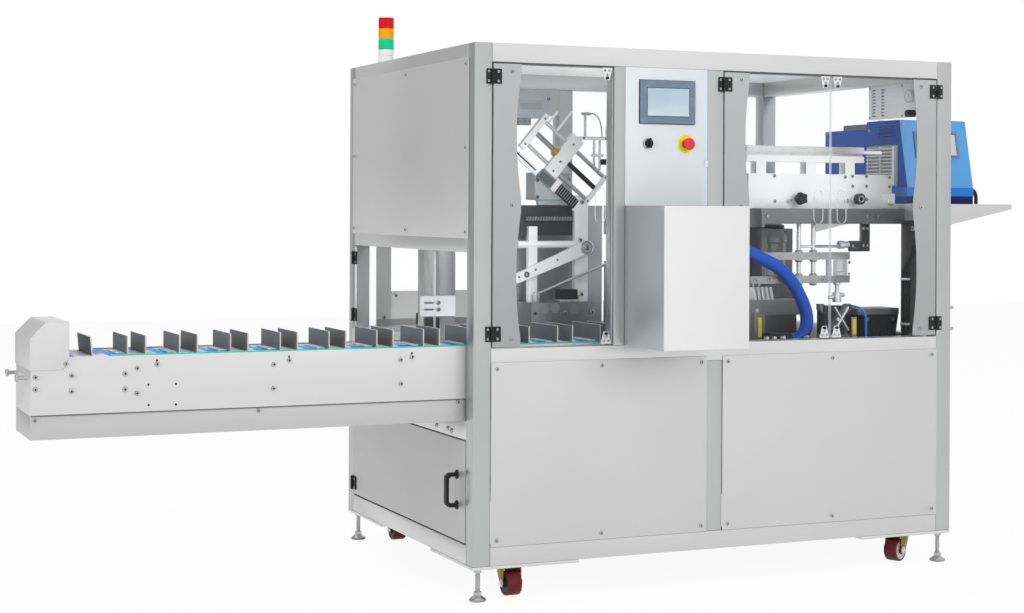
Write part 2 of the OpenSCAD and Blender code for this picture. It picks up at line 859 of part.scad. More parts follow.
module left_door_pane() {
  color("azure", 0.4) translate(shift) pane(tube + door_gap, jamb_x - door_gap, jamb_x - slot_in);
}
module left_door_strip() {
  color("silver") translate(shift) {
    translate([tube + door_gap, 0, 0]) strip();
    at_left_door() leaf_moving();
  }
}
module mid_door_pane() {
  color("azure", 0.4) translate(shift) pane(mid_r + door_gap, meet_x - door_gap / 2, meet_x - slot_in);
}
module mid_door_strip() {
  color("silver") translate(shift) {
    translate([mid_r + door_gap, 0, 0]) strip();
    at_mid_door() leaf_moving();
  }
}
module right_door_pane() {
  color("azure", 0.4) translate(shift) pane(meet_x + door_gap / 2, right_in - door_gap, meet_x + slot_in);
}
module right_door_strip() {
  color("silver") translate(shift) {
    translate([right_in - door_gap, 0, 0]) mirror([1, 0, 0]) strip();
    at_right_door() leaf_moving();
  }
}

module side_door_panel() {
  color("lightsteelblue") translate(shift) {
    difference() {
      span([0, side_front, side_lo], [pan_d, side_back, side_hi]);
      span([pan_t, side_front + pan_t, side_lo + pan_t], [pan_d + 1, side_back - pan_t, side_hi - pan_t]);
    }
    at_side_door() leaf_moving();
  }
}

module side_door_handle() {
  mid = (side_lo + side_hi) / 2;
  lo = mid - grip_h / 2;
  hi = mid + grip_h / 2;
  cut = grip_t;
  y = side_front + grip_in;
  color("black") translate(shift) slab_y(y - grip_w / 2, y + grip_w / 2, [
    [0, lo], [0, lo + grip_t], [-grip_out + grip_t + cut / 2, lo + grip_t],
    [-grip_out + grip_t, lo + grip_t + cut / 2], [-grip_out + grip_t, hi - grip_t - cut / 2],
    [-grip_out + grip_t + cut / 2, hi - grip_t], [0, hi - grip_t], [0, hi],
    [-grip_out + cut, hi], [-grip_out, hi - cut], [-grip_out, lo + cut], [-grip_out + cut, lo]]);
}

module side_guard_pane() {
  color("azure", 0.4) translate(shift)
    span([0, deck_front, door_lo], [pane_t, side_back, gate_top - door_gap]);
}
module side_guard_hinges() {
  color("dimgray") translate(shift) at_side_guard() leaf_moving();
}

module operator_housing() {
  color("aliceblue") translate(shift) span([jamb_r, 0, panel_lo], [mid_x, panel_d, top_lo]);
}

module operator_screen() {
  rim = 26;
  sink = 3;
  color("dimgray") translate(shift) difference() {
    span([panel_cx - screen_w / 2, -screen_t, screen_z - screen_h / 2],
      [panel_cx + screen_w / 2, 0, screen_z + screen_h / 2]);
    span([panel_cx - screen_w / 2 + rim, -screen_t - 1, screen_z - screen_h / 2 + rim],
      [panel_cx + screen_w / 2 - rim, -screen_t + sink, screen_z + screen_h / 2 - rim]);
  }
}

// Switch collar with a blind seat for the stem
module collar(x, r) {
  difference() {
    bar_y(-collar_h, 0, x, switch_z, r);
    bar_y(-collar_h - 1, -face_gap, x, switch_z, stem_r + run);
  }
}

module switch_collars() {
  color("silver") translate(shift) {
    collar(sel_x, collar_r);
    collar(stop_x, stop_ring_r);
  }
}

module selector_knob() {
  lift = 2;
  disc_t = 6;
  lever_w = 9;
  lever_h = 14;
  face = -collar_h - lift;
  color("black") translate(shift) {
    bar_y(face, -2 * face_gap, sel_x, switch_z, stem_r);
    bar_y(face - disc_t, face + eps, sel_x, switch_z, collar_r - 1);
    span([sel_x - lever_w / 2, face - lever_h, switch_z - collar_r + 1],
      [sel_x + lever_w / 2, face - disc_t + 1, switch_z + collar_r - 1]);
  }
}

module stop_button() {
  lift = stop_travel + 5;
  head = 12;
  edge = 5;
  dome = [[0, 0], [stop_r - edge / 2, 0], [stop_r, edge], [stop_r, head - edge], [stop_r - edge, head],
    [0, head + 2]];
  color("red") translate(shift) {
    bar_y(-collar_h - lift - 1, -stop_travel - 2 * face_gap, stop_x, switch_z, stem_r);
    translate([stop_x, -collar_h - lift, switch_z]) rotate([90, 0, 0]) rotate_extrude() polygon(dome);
  }
}

module front_box() {
  color("silver") translate(shift) span([jamb_r, -box_out + cover_t, sill_top], [mid_x, tube, panel_lo]);
}
module front_box_cover() {
  color("white") translate(shift) span([jamb_r, -box_out, sill_top], [mid_x, -box_out + cover_t, panel_lo]);
}

module signal_foot() {
  color("white") translate(shift) {
    bar_z(cab_h, lens_z, tower_x, tower_y, tower_r);
    translate([tower_x, tower_y, lens_z + 3 * lens_h]) cylinder(h = tower_cap_h / 2, r = tower_r);
    translate([tower_x, tower_y, lens_z + 3 * lens_h + tower_cap_h / 2])
      cylinder(h = tower_cap_h / 2, r1 = tower_r, r2 = tower_r - tower_cap_h / 2);
  }
}

// One lens with fine rings
module lens(level) {
  rib = 2;
  groove = tower_r - rib;
  translate([tower_x, tower_y, lens_z + level * lens_h]) rotate_extrude() polygon([[0, 0], [groove, 0],
    [groove, rib], [tower_r, rib], [tower_r, lens_h - rib], [groove, lens_h - rib], [groove, lens_h],
    [0, lens_h]]);
}
module signal_green() {
  color("green") translate(shift) lens(0);
}
module signal_amber() {
  color("orange") translate(shift) lens(1);
}
module signal_red() {
  color("red") translate(shift) lens(2);
}

// Caster fork: crown on the king pin, two legs and the axle; trails towards -X before its rest turn
module caster_fork() {
  crown_z = seat_lo - face_gap - crown_t;
  bridge = crown_z + crown_t / 2;
  leg_x = -trail;
  leg_r = axle_r + 6;
  leg = [[crown_r / 2, bridge], [leg_x + leg_r, axle_z - leg_r], [leg_x - leg_r, axle_z - leg_r],
    [leg_x - leg_r, bridge]];
  difference() {
    union() {
      translate([0, 0, crown_z]) cylinder(h = crown_t, r = crown_r);
      span([leg_x - leg_r, -fork_in - fork_t, crown_z], [crown_r / 2, fork_in + fork_t, bridge]);
      for (y = [-fork_in - fork_t, fork_in]) slab_y(y, y + fork_t, leg);
      bar_y(-fork_in - eps, fork_in + eps, leg_x, axle_z, axle_r);
    }
    translate([0, 0, crown_z - 1]) cylinder(h = crown_t + 2, r = king_r + run);
  }
}

// Caster wheel with a tread, a dished web and a bored hub
module caster_wheel() {
  hub_w = fork_in - face_gap;
  web_w = wheel_w / 4;
  half = wheel_w / 2;
  rim_r = wheel_r - tread_t;
  crown = 4;
  translate([-trail, 0, axle_z]) rotate([90, 0, 0]) rotate_extrude() polygon([[axle_r + run, -hub_w],
    [hub_r, -hub_w], [hub_r, -web_w], [rim_r, -web_w], [rim_r, -half], [wheel_r - crown / 2, -half],
    [wheel_r, -half + crown], [wheel_r, half - crown], [wheel_r - crown / 2, half], [rim_r, half],
    [rim_r, web_w], [hub_r, web_w], [hub_r, hub_w], [axle_r + run, hub_w]]);
}

// Swivel axes by corner: left or right, front or back
function swivel(a, b) = [a == 0 ? cast_x : cab_l - cast_x, b == 0 ? cast_y : cab_w - cast_y, 0];

module caster_fork_fl() {
  color("goldenrod") translate(shift + swivel(0, 0)) rotate([0, 0, cast_turn]) caster_fork();
}
module caster_fork_fr() {
  color("goldenrod") translate(shift + swivel(1, 0)) rotate([0, 0, cast_turn_fr]) caster_fork();
}
module caster_fork_bl() {
  color("goldenrod") translate(shift + swivel(0, 1)) rotate([0, 0, cast_turn]) caster_fork();
}
module caster_fork_br() {
  color("goldenrod") translate(shift + swivel(1, 1)) rotate([0, 0, cast_turn]) caster_fork();
}
module caster_wheel_fl() {
  color("maroon") translate(shift + swivel(0, 0)) rotate([0, 0, cast_turn]) caster_wheel();
}
module caster_wheel_fr() {
  color("maroon") translate(shift + swivel(1, 0)) rotate([0, 0, cast_turn_fr]) caster_wheel();
}
module caster_wheel_bl() {
  color("maroon") translate(shift + swivel(0, 1)) rotate([0, 0, cast_turn]) caster_wheel();
}
module caster_wheel_br() {
  color("maroon") translate(shift + swivel(1, 1)) rotate([0, 0, cast_turn]) caster_wheel();
}

module conveyor_frame() {
  color("silver") translate(shift) {
    for (y = [conv_y, conv_back - plate_t]) span([-conv_out, y, plate_lo], [conv_in, y + plate_t, conv_top]);
    span([-conv_out, conv_y + plate_t - eps, plate_lo],
      [-conv_out + end_t, conv_back - plate_t + eps, conv_top - hood_skirt]);
    for (x = [drum_a, drum_b]) {
      bar_y(conv_y + plate_t - eps, conv_back - plate_t + eps, x, drum_z, shaft_r);
      bar_y(conv_y + plate_t + chain_gap, conv_back - plate_t - chain_gap, x, drum_z, drum_r - face_gap);
    }
    tension_screws();
  }
}

module conveyor_tray() {
  color("gainsboro") translate(shift)
    span([-conv_out, conv_y + tray_in, tray_lo], [conv_in, conv_back - tray_in, plate_lo]);
}

module slat_chain() {
  y0 = conv_y + plate_t + chain_gap;
  y1 = conv_back - plate_t - chain_gap;
  color("lightgray") translate(shift) difference() {
    union() {
      for (x = [drum_a, drum_b]) bar_y(y0, y1, x, drum_z, chain_r);
      span([drum_a, y0, drum_z - chain_r], [drum_b, y1, drum_z + chain_r]);
    }
    for (x = [drum_a, drum_b]) bar_y(y0 - 1, y1 + 1, x, drum_z, drum_r);
    span([drum_a, y0 - 1, drum_z - drum_r], [drum_b, y1 + 1, drum_z + drum_r]);
  }
}

module chain_paddles() {
  mid = (conv_y + conv_back) / 2;
  color("gray") translate(shift) for (i = [0 : pair_n - 1]) for (k = [0, pair_gap])
    paddle(pair_start - conv_out + i * pair_pitch + k, mid, k);
}

// One bent paddle: an upright and a foot that points away from its partner
module paddle(x, mid, k) {
  f = k == 0 ? -paddle_foot : paddle_foot + paddle_t;
  a = min(f, 0);
  b = max(f, paddle_t);
  span([x, mid - paddle_w / 2, conv_top], [x + paddle_t, mid + paddle_w / 2, conv_top + paddle_h]);
  span([x + a, mid - paddle_w / 3, conv_top], [x + b, mid + paddle_w / 3, conv_top + paddle_t]);
}

module wear_strip() {
  color("green") translate(shift) for (y = [conv_y, conv_back - plate_t])
    span([pair_start - conv_out - pair_gap, y, conv_top], [conv_in, y + plate_t, conv_top + wear_h]);
}

// Bent end cover over the outer drum, with the tension screws in the end plate
module conveyor_end_cover() {
  x0 = -conv_out - hood_t;
  x1 = x0 + hood_l;
  lo = conv_top - hood_skirt;
  hi = conv_top + hood_h;
  y0 = conv_y - hood_t - face_gap;
  y1 = conv_back + hood_t + face_gap;
  side = [[x0, lo], [x1 - hood_skirt / 2, lo], [x1, conv_top], [x1, hi], [x0 + hood_chamfer, hi],
    [x0, hi - hood_chamfer]];
  inner = [[x0 + hood_t, lo - 1], [x1 + 1, lo - 1], [x1 + 1, hi - hood_t],
    [x0 + hood_chamfer + hood_t / 2, hi - hood_t], [x0 + hood_t, hi - hood_chamfer - hood_t / 2]];
  color("gainsboro") translate(shift) difference() {
    slab_y(y0, y1, side);
    slab_y(y0 + hood_t, y1 - hood_t, inner);
  }
}

// Screws that tension the chain, through the end plate
module tension_screws() {
  r = 6;
  head = 8;
  z = drum_z + 2 * r;
  for (y = [conv_y + conv_w / 6, conv_back - conv_w / 6]) {
    bar_x(-conv_out - hood_t - screw_out + head - eps, -conv_out + eps, y, z, r);
    bar_x(-conv_out - hood_t - screw_out, -conv_out - hood_t - screw_out + head, y, z, 2 * r - 1);
  }
}

module pick_stand() {
  rod_z = deck_top + pivot_z + rod_up;
  color("gainsboro") translate(shift) {
    span([base_x, base_y, deck_top], [base_x + base_w, base_y + base_d, base_top]);
    span([column_x, mag_y, base_top - eps], [column_x + column_w, mag_y + column_t, base_top + column_h]);
    span([guide_x, mag_y, base_top - eps], [guide_x + guide_w, mag_y + column_t, base_top + guide_h]);
    bar_x(guide_x - rod_over, column_x + eps, mag_y + column_t / 2, rod_z, rod_d / 2);
    infeed_post();
  }
}

// Post beside the infeed with its slotted guide plate
module infeed_post() {
  plate_t = 8;
  stand = 12;
  stand_r = 9;
  slot_h = 7;
  plate_x = infeed_x - 18;
  z0 = deck_top + guard_z;
  y0 = infeed_y - stand - plate_t;
  span([infeed_x, infeed_y, deck_top], [infeed_x + infeed_w, infeed_y + infeed_w, deck_top + infeed_h]);
  difference() {
    span([plate_x, y0, z0], [plate_x + guard_w, y0 + plate_t, z0 + guard_h]);
    for (k = [1, 2]) span([plate_x + stand, y0 - 1, z0 + k * guard_h / 3 - slot_h / 2],
        [plate_x + stand + slot_run, y0 + plate_t + 1, z0 + k * guard_h / 3 + slot_h / 2]);
  }
  for (k = [1, 2]) bar_y(y0 + plate_t - eps, infeed_y + eps, plate_x + stand + slot_run + stand_r,
      z0 + k * guard_h / 3, stand_r);
}

// Rod from a lug on the station base up to a lever on the deck
module pull_rod() {
  lug = 16;
  x0 = guide_x + guide_w / 2;
  x1 = x0 + pull_run;
  y0 = mag_y - arm_t - pull_d - lug / 2;
  z0 = deck_top + pull_z;
  reach = norm([pull_run, pull_rise]);
  span([x0 - lug / 2, y0, base_top], [x0 + lug / 2, y0 + lug, z0 + lug / 2]);
  span([x1 - lug / 2, y0, deck_top], [x1 + lug / 2, y0 + lug, z0 + pull_rise + lug / 2]);
  translate([x0, y0 + lug / 2, z0]) rotate([0, atan2(pull_run, pull_rise), 0])
    cylinder(h = reach, r = pull_d / 2);
}

module dark_beams() {
  block = 12;
  stand_in = 9;
  wall_y = base_y + base_d;
  lead = 15;
  turn_y = beam_y + valve_y + 20;
  turn_lo = deck_top + turn_top - turn_h;
  turn_d = valve_d + 10;
  hx = beam_x + turn_x;
  stem_w = 34;
  stem_y = turn_y + turn_d - 25;
  color("dimgray") translate(shift) {
    span([guide_x - lead, rack_y, rack_top - rack_h], [column_x + column_w, rack_y + rack_t, rack_top]);
    span([beam_x, beam_y, beam_z - beam_h], [right_in, beam_y + beam_d, beam_z]);
    span([beam_x - block, beam_y - block, beam_z - beam_h - block],
      [beam_x + eps, beam_y + beam_d + block, beam_z]);
    span([base_x + stand_in, wall_y, deck_top], [base_x + stand_in + wall_w, wall_y + wall_t, rack_top]);
    span([infeed_x + infeed_w, infeed_y + wall_t, deck_top],
      [infeed_x + infeed_w + shade_w, infeed_y + 2 * wall_t, deck_top + infeed_h]);
    pull_rod();
    span([hx, turn_y, turn_lo], [hx + turn_w, turn_y + turn_d, turn_lo + turn_h]);
    span([hx + stem_w, stem_y, deck_top], [hx + 2 * stem_w, turn_y + turn_d, turn_lo + eps]);
  }
}

module pick_arm() {
  px = column_x + column_w - arm_w / 2;
  pz = deck_top + pivot_z;
  off = 4;
  boss = 0.6 * arm_w;
  color("silver") translate(shift) translate([px, mag_y, pz]) {
    bar_y(-arm_t - off - 2, 0, 0, 0, boss);
    rotate([0, -arm_tilt, 0]) difference() {
      union() {
        span([-arm_l, -arm_t - off, -arm_w / 2], [0, -off, arm_w / 2]);
        bar_y(-arm_t - off, -off, -arm_l, 0, arm_w / 2);
      }
      bar_y(-arm_t - off - 1, -off + 1, -arm_l, 0, arm_w / 4);
    }
  }
}

// Local magazine frame: u runs down the rods, v across them
module mag_frame() {
  translate([mag_x, mag_y, deck_top + mag_z]) rotate([0, mag_tilt, 0]) children();
}

module carton_magazine() {
  half = bar_d / 2;
  end_over = 10;
  hook_t = 6;
  head_t = 20;
  arm_z = 12;
  post_r = 5;
  post_x = sensor_at + sensor_l / 3;
  color("silver") translate(shift) {
    mag_frame() {
      span([-bar_w / 2, -half, -bar_half], [bar_w / 2, half, bar_half]);
      span([carrier_at, -half, -bar_half], [carrier_at + carrier_w, feeder_in, bar_half + carrier_over]);
      span([mag_l - end_w, -half, -mag_half - end_over], [mag_l, 0, mag_half + end_over]);
      for (v = [-mag_half, 0, mag_half]) bar_x(0, mag_l - eps, -half / 2, v, mag_rod_r - face_gap);
      for (u = [hook_at, hook_at + hook_gap])
        span([u, -half + 1, mag_half + 1], [u + hook_w, -half + 1 + hook_t, mag_half + hook_l]);
    }
    translate([mag_x, mag_y, deck_top + mag_z]) {
      span([-head_back, -head_t / 2, head_up], [head_l - head_back, head_t / 2, head_up + head_h]);
      span([sensor_at, -hook_t + 2, -sensor_drop], [sensor_at + sensor_l, hook_t - 2, arm_z - sensor_drop]);
      bar_z(arm_z / 2 - sensor_drop, sensor_h - sensor_drop, post_x, 0, post_r);
    }
  }
}

module magazine_drive() {
  x0 = base_x + feeder_x;
  x1 = x0 + feeder_w;
  z0 = rack_top + feeder_foot;
  z1 = z0 + feeder_h;
  y0 = mag_y + feeder_in;
  y1 = y0 + feeder_d;
  fins = 8;
  step = feeder_w / (2 * fins);
  fin_h = 14;
  foot_in = 15;
  color("darkgray") translate(shift) difference() {
    union() {
      span([x0, y0, z0], [x1, y1, z1]);
      span([x0 + foot_in, rack_y, rack_top], [x1 - foot_in, rack_y + rack_t, z0 + eps]);
    }
    for (i = [1 : fins - 1]) translate([x0 + 2 * i * step - step / 2, y0 + step, z1 - fin_h])
      cube([step, feeder_d, fin_h + 1]);
  }
}

module press_rail() {
  z0 = beam_z;
  z1 = z0 + rail_h;
  z2 = z1 + extr_gap;
  slot = 10;
  web = 40;
  lip = 8;
  x0 = rail_x - lip;
  x1 = x0 + extr_l;
  y1 = rail_y + slot;
  mid_z = z2 + extr / 2;
  mid_y = rail_y + extr / 2;
  stem = 8;
  color("whitesmoke") translate(shift) {
    span([rail_x, rail_y, z0], [rail_x + rail_l, rail_y + rail_t, z1]);
    for (x = [x0 + web, (x0 + x1) / 2, x1 - 2 * web])
      span([x, rail_y, z1 - eps], [x + web, rail_y + web, z2 + eps]);
    difference() {
      span([x0, rail_y, z2], [x1, rail_y + extr, z2 + extr]);
      span([x0 - 1, rail_y - 1, mid_z - slot / 2], [x1 + 1, y1, mid_z + slot / 2]);
      span([x0 - 1, mid_y - slot / 2, z2 + extr - slot], [x1 + 1, mid_y + slot / 2, z2 + extr + 1]);
    }
    bar_x(x1 - eps, x1 + lever_l, mid_y, mid_z + slot, stem);
    for (x = [knob_a, knob_b]) {
      bar_y(rail_y - knob_out, rail_y + eps, rail_x + x, z0 + knob_z, stem);
      bar_y(rail_y - knob_out, rail_y - knob_out / 2, rail_x + x, z0 + knob_z, knob_r);
    }
    span([stop_x0, rail_y - web / 2, z0 + 1], [rail_x + rail_l, rail_y + eps, z0 + stop_h]);
  }
}

module nozzle_carriage() {
  z0 = beam_z - beam_h;
  hi_z = z0 - hang_hi;
  lo_z = z0 - hang_lo;
  x0 = beam_x - nozzle_lead;
  x1 = x0 + nozzle_l;
  half = nozzle_d / 2;
  slim = half / 2;
  tip = 35;
  foot = beam_x + foot_x;
  toe_z = hi_z + 2;
  nozzle_x = beam_x + cyl_x + cyl_w / 2;
  nozzle_z = lo_z - nozzle_drop;
  color("silver") translate(shift) {
    for (x = [hanger_x, hanger_x + hanger_gap])
      bar_z(lo_z - bar_t / 2, z0, beam_x + x, hang_y, nozzle_rod_r);
    span([x0, hang_y - half, hi_z - bar_t], [x1, hang_y + half, hi_z]);
    span([x0, hang_y - half, lo_z - bar_t], [x1, hang_y + half, lo_z]);
    span([beam_x + cyl_x, hang_y - half - slim, lo_z - eps],
      [beam_x + cyl_x + cyl_w, hang_y + half + slim, hi_z - bar_t + eps]);
    bar_z(nozzle_z, lo_z - bar_t + eps, nozzle_x, hang_y, nozzle_rod_r);
    bar_z(nozzle_z - tip, nozzle_z + eps, nozzle_x, hang_y, 2 * nozzle_rod_r);
    span([foot, hang_y - slim, toe_z], [foot + foot_w, hang_y + slim, z0]);
    span([foot - toe_l, hang_y - slim, toe_z], [foot + eps, hang_y + slim, toe_z + toe_h]);
    bar_x(beam_x + hanger_x, foot - toe_l + eps, hang_y, toe_z + toe_h / 2, nozzle_rod_r / 2 + 1);
  }
}

module scale_blocks() {
  back = beam_y + scale_y;
  deep = 40;
  fold_y = beam_y + beam_d / 6;
  fx = beam_x + fold_x;
  fz = deck_top + fold_base;
  top = deck_top + fold_h - nozzle_rod_r;
  vx = beam_x + valve_x;
  vy = beam_y + valve_y;
  vz = deck_top + valve_h;
  fins = 5;
  pitch = 18;
  lug = 12;
  lug_y = line_route[0][1];
  lug_z = line_route[0][2];
  rise = [[fx, fz], [fx + fold_t, fz], [fx + fold_w, top - fold_t], [fx + fold_w, top],
    [fx + fold_w - fold_t, top]];
  fall = [[fx + fold_w, fz], [fx + fold_w - fold_t, fz], [fx, top - fold_t], [fx, top], [fx + fold_t, top]];
  color("silver") translate(shift) {
    for (x = [scale_a, scale_a + scale_gap])
      span([beam_x + x, back, deck_top], [beam_x + x + scale_w, back + deep, deck_top + scale_h]);
    span([fx, fold_y, deck_top], [fx + fold_w, fold_y + deep, fz + eps]);
    slab_y(fold_y, fold_y + deep / 2, rise);
    slab_y(fold_y + deep / 2, fold_y + deep, fall);
    span([line_route[0][0] - lug, lug_y - lug / 2, lug_z - lug / 2],
      [line_route[0][0], fold_y + eps, lug_z + lug / 2]);
    span([vx, vy, deck_top], [vx + valve_w, vy + valve_d, vz]);
    for (i = [1 : fins]) translate([vx + i * pitch, 0, vz]) slab_y(vy + 2, vy + valve_d / 2,
      [[pitch / 2, -eps], [pitch, -eps], [pitch / 2, valve_up], [0, valve_up]]);
  }
}

module drive_motor() {
  side = 15;
  x1 = right_in - side;
  x0 = x1 - motor_w;
  y0 = beam_y + side;
  z1 = deck_top + motor_h;
  color("black") translate(shift) {
    slab_y(y0, y0 + motor_d,
      [[x0 + motor_in, deck_top], [x1 - motor_in, deck_top], [x1, z1], [x0, z1]]);
    span([x0 - lid_over, y0 - 1, z1 - eps], [x1 + 1, y0 + motor_d + 1, z1 + lid_t]);
  }
}

module hose_fittings() {
  first = hose_route[0];
  last = hose_route[len(hose_route) - 1];
  cuff = hose_r + 3;
  plate = 8;
  cuff_l = 70;
  line_end = line_route[len(line_route) - 1];
  color("black") translate(shift) {
    bar_x(mid_r - plate, first[0], first[1], first[2], cuff);
    span([mid_r - 2 * plate, tube, first[2] - 2 * hose_r],
      [mid_r - plate + eps, first[1] + 2 * hose_r, first[2] + 2 * hose_r]);
    bar_x(last[0] - cuff_l, last[0], last[1], last[2], cuff);
    span([last[0] - cuff_l - cuff, last[1] - cuff, deck_top],
      [last[0] - cuff_l + cuff, last[1] + cuff, last[2] + cuff]);
    bar_z(deck_top, line_end[2], line_end[0], line_end[1], 2 * line_r);
  }
}

module air_hose() {
  color("royalblue") translate(shift) sweep(hose_route, hose_r, hose_sides);
}

module air_line() {
  color("deepskyblue") translate(shift) sweep(line_route, line_r, line_sides);
}

module service_plates() {
  x1 = right_in + tube / 2;
  x0 = x1 - air_t;
  z0 = top_lo - air_h;
  vent_y = air_y + gauge_w;
  gauge_y = air_y + gauge_w / 2;
  rows = 9;
  pitch = 12;
  vent_l = 22;
  vent_t = 5;
  knob = 13;
  color("white") translate(shift) {
    difference() {
      span([x0, vent_y, z0], [x1, vent_y + vent_w, top_lo]);
      for (i = [1 : rows]) for (y = [vent_w / 2, vent_w - 2 * vent_l])
        translate([x0 - 1, vent_y + y, z0 + i * pitch]) cube([air_t + 2, vent_l, vent_t]);
    }
    span([x0, air_y, z0], [x1, vent_y, top_lo]);
    bar_x(x0 - gauge_out, x0 + eps, gauge_y, z0 + air_h * 0.6, gauge_r);
    bar_x(x0 - 2 * gauge_out, x0 + eps, gauge_y - knob, z0 + knob, knob);
  }
}

module glue_shelf() {
  color("lightsteelblue") translate(shift) {
    span([cab_l, shelf_y, shelf_top - shelf_t], [cab_l + shelf_l, shelf_y + shelf_w, shelf_top]);
    for (y = [shelf_y, shelf_y + shelf_w - gusset_t]) slab_y(y, y + gusset_t, [
      [cab_l, shelf_top - shelf_t + eps], [cab_l + shelf_l, shelf_top - shelf_t + eps],
      [cab_l, shelf_top - shelf_t - gusset_h]]);
  }
}

module glue_unit() {
  x0 = cab_l + unit_x;
  y0 = shelf_y + unit_y;
  unit_top = shelf_top + unit_h;
  tank_top = unit_top - unit_step;
  lid_in = 30;
  lid_y = y0 + unit_head;
  cool_y = y0 + unit_lean + 12;
  cool_z = shelf_top + unit_skirt + 6;
  slope = atan2(unit_lean, unit_h - unit_skirt);
  show_x = (unit_w - show_w) / 2;
  show_z = unit_h - unit_skirt - show_h - 40;
  color("steelblue") translate(shift) {
    slab_x(x0, x0 + unit_w, [[y0, shelf_top], [y0, shelf_top + unit_skirt], [y0 + unit_lean, unit_top],
      [lid_y, unit_top], [lid_y, tank_top], [y0 + unit_d, tank_top], [y0 + unit_d, shelf_top]]);
    span([x0 + lid_in, lid_y, tank_top - eps],
      [x0 + unit_w - lid_in, lid_y + tank_lid, tank_top + tank_lid_h]);
    span([x0 - cool_out, cool_y, cool_z], [x0 + eps, cool_y + cool_w, cool_z + cool_h]);
    translate([x0, y0, shelf_top + unit_skirt]) rotate([-slope, 0, 0])
      span([show_x, -show_t, show_z], [show_x + show_w, eps, show_z + show_h]);
  }
}

frame_posts();
frame_rails_x();
frame_rails_y();
roof_panel();
deck_plate();
sheet_panels();
guard_windows();
corner_plates();
levelling_feet();
fixed_hinge_leaves();
left_door_pane();
left_door_strip();
mid_door_pane();
mid_door_strip();
right_door_pane();
right_door_strip();
side_door_panel();
side_door_handle();
side_guard_pane();
side_guard_hinges();
operator_housing();
operator_screen();
switch_collars();
selector_knob();
stop_button();
front_box();
front_box_cover();
signal_foot();
signal_green();
signal_amber();
signal_red();
caster_fork_fl();
caster_fork_fr();
caster_fork_bl();
caster_fork_br();
caster_wheel_fl();
caster_wheel_fr();
caster_wheel_bl();
caster_wheel_br();
conveyor_frame();
conveyor_tray();
slat_chain();
chain_paddles();
wear_strip();
conveyor_end_cover();
pick_stand();
dark_beams();
pick_arm();
carton_magazine();
magazine_drive();
press_rail();
nozzle_carriage();
scale_blocks();
drive_motor();
hose_fittings();
air_hose();
air_line();
service_plates();
glue_shelf();
glue_unit();
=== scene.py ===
"""Looks of an automatic cartoner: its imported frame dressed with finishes, fasteners and fittings."""
from __future__ import annotations

import logging
import math
from dataclasses import dataclass
from enum import Enum
from typing import Iterable, Mapping, Optional, Sequence, Union

import bmesh
import bpy
from mathutils import Matrix, Vector


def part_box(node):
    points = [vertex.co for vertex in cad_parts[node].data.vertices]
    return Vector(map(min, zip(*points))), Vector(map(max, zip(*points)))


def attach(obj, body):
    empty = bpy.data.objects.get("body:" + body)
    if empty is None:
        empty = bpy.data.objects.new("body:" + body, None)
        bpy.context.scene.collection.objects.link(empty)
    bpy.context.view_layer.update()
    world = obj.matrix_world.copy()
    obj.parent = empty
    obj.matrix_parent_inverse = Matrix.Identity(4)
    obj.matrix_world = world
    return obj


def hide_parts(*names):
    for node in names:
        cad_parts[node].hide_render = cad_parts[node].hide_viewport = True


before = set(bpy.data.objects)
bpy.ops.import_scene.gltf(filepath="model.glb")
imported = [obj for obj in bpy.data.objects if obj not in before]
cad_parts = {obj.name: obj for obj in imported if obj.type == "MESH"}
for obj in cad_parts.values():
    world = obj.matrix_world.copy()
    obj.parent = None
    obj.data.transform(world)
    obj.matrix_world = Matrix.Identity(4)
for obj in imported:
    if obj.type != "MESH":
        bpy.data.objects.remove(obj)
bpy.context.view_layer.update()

LOG = logging.getLogger("cartoner")
MM = 0.001
ORIGIN = Vector(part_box("frame_posts")[0])
MACHINE = "machine"
WELD = 1e-6
SMOOTH_TO = math.radians(32)
BEVEL_FROM = 0.5
EASE_SHARE = 0.4
LOOKS_ALONG = 0.4
FAR = 9e3
TUBE = 60.0
DECK_Z = 625.0
DOOR_LOW, DOOR_HIGH = 690.0, 1585.0
HINGE_IN = 41.0
Point = Sequence[float]
Spot = tuple[float, float]
Place = tuple[float, float, float]
Colour = tuple[float, float, float]
WHITE = (1.0, 1.0, 1.0)
FRONT, UP, LEFT, RIGHT = (0, -1, 0), (0, 0, 1), (-1, 0, 0), (1, 0, 0)


def corners(node: str) -> tuple[Vector, Vector]:
    """Give a node's lowest and highest corners in cabinet millimetres.

    Args:
        node: Name of the solid.

    Returns:
        Lowest and highest corner, from the cabinet's lower left front corner.
    """
    low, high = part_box(node)
    return (Vector(low) - ORIGIN) / MM, (Vector(high) - ORIGIN) / MM


class Axis(Enum):
    """Direction in the cabinet."""

    X = 0
    Y = 1
    Z = 2


class Head(Enum):
    """Kind of fastener head: radius and height, in millimetres."""

    PANEL = (6.6, 4.0)
    BOLT = (7.5, 6.0)
    SMALL = (4.4, 2.6)
    HINGE = (4.2, 1.6)


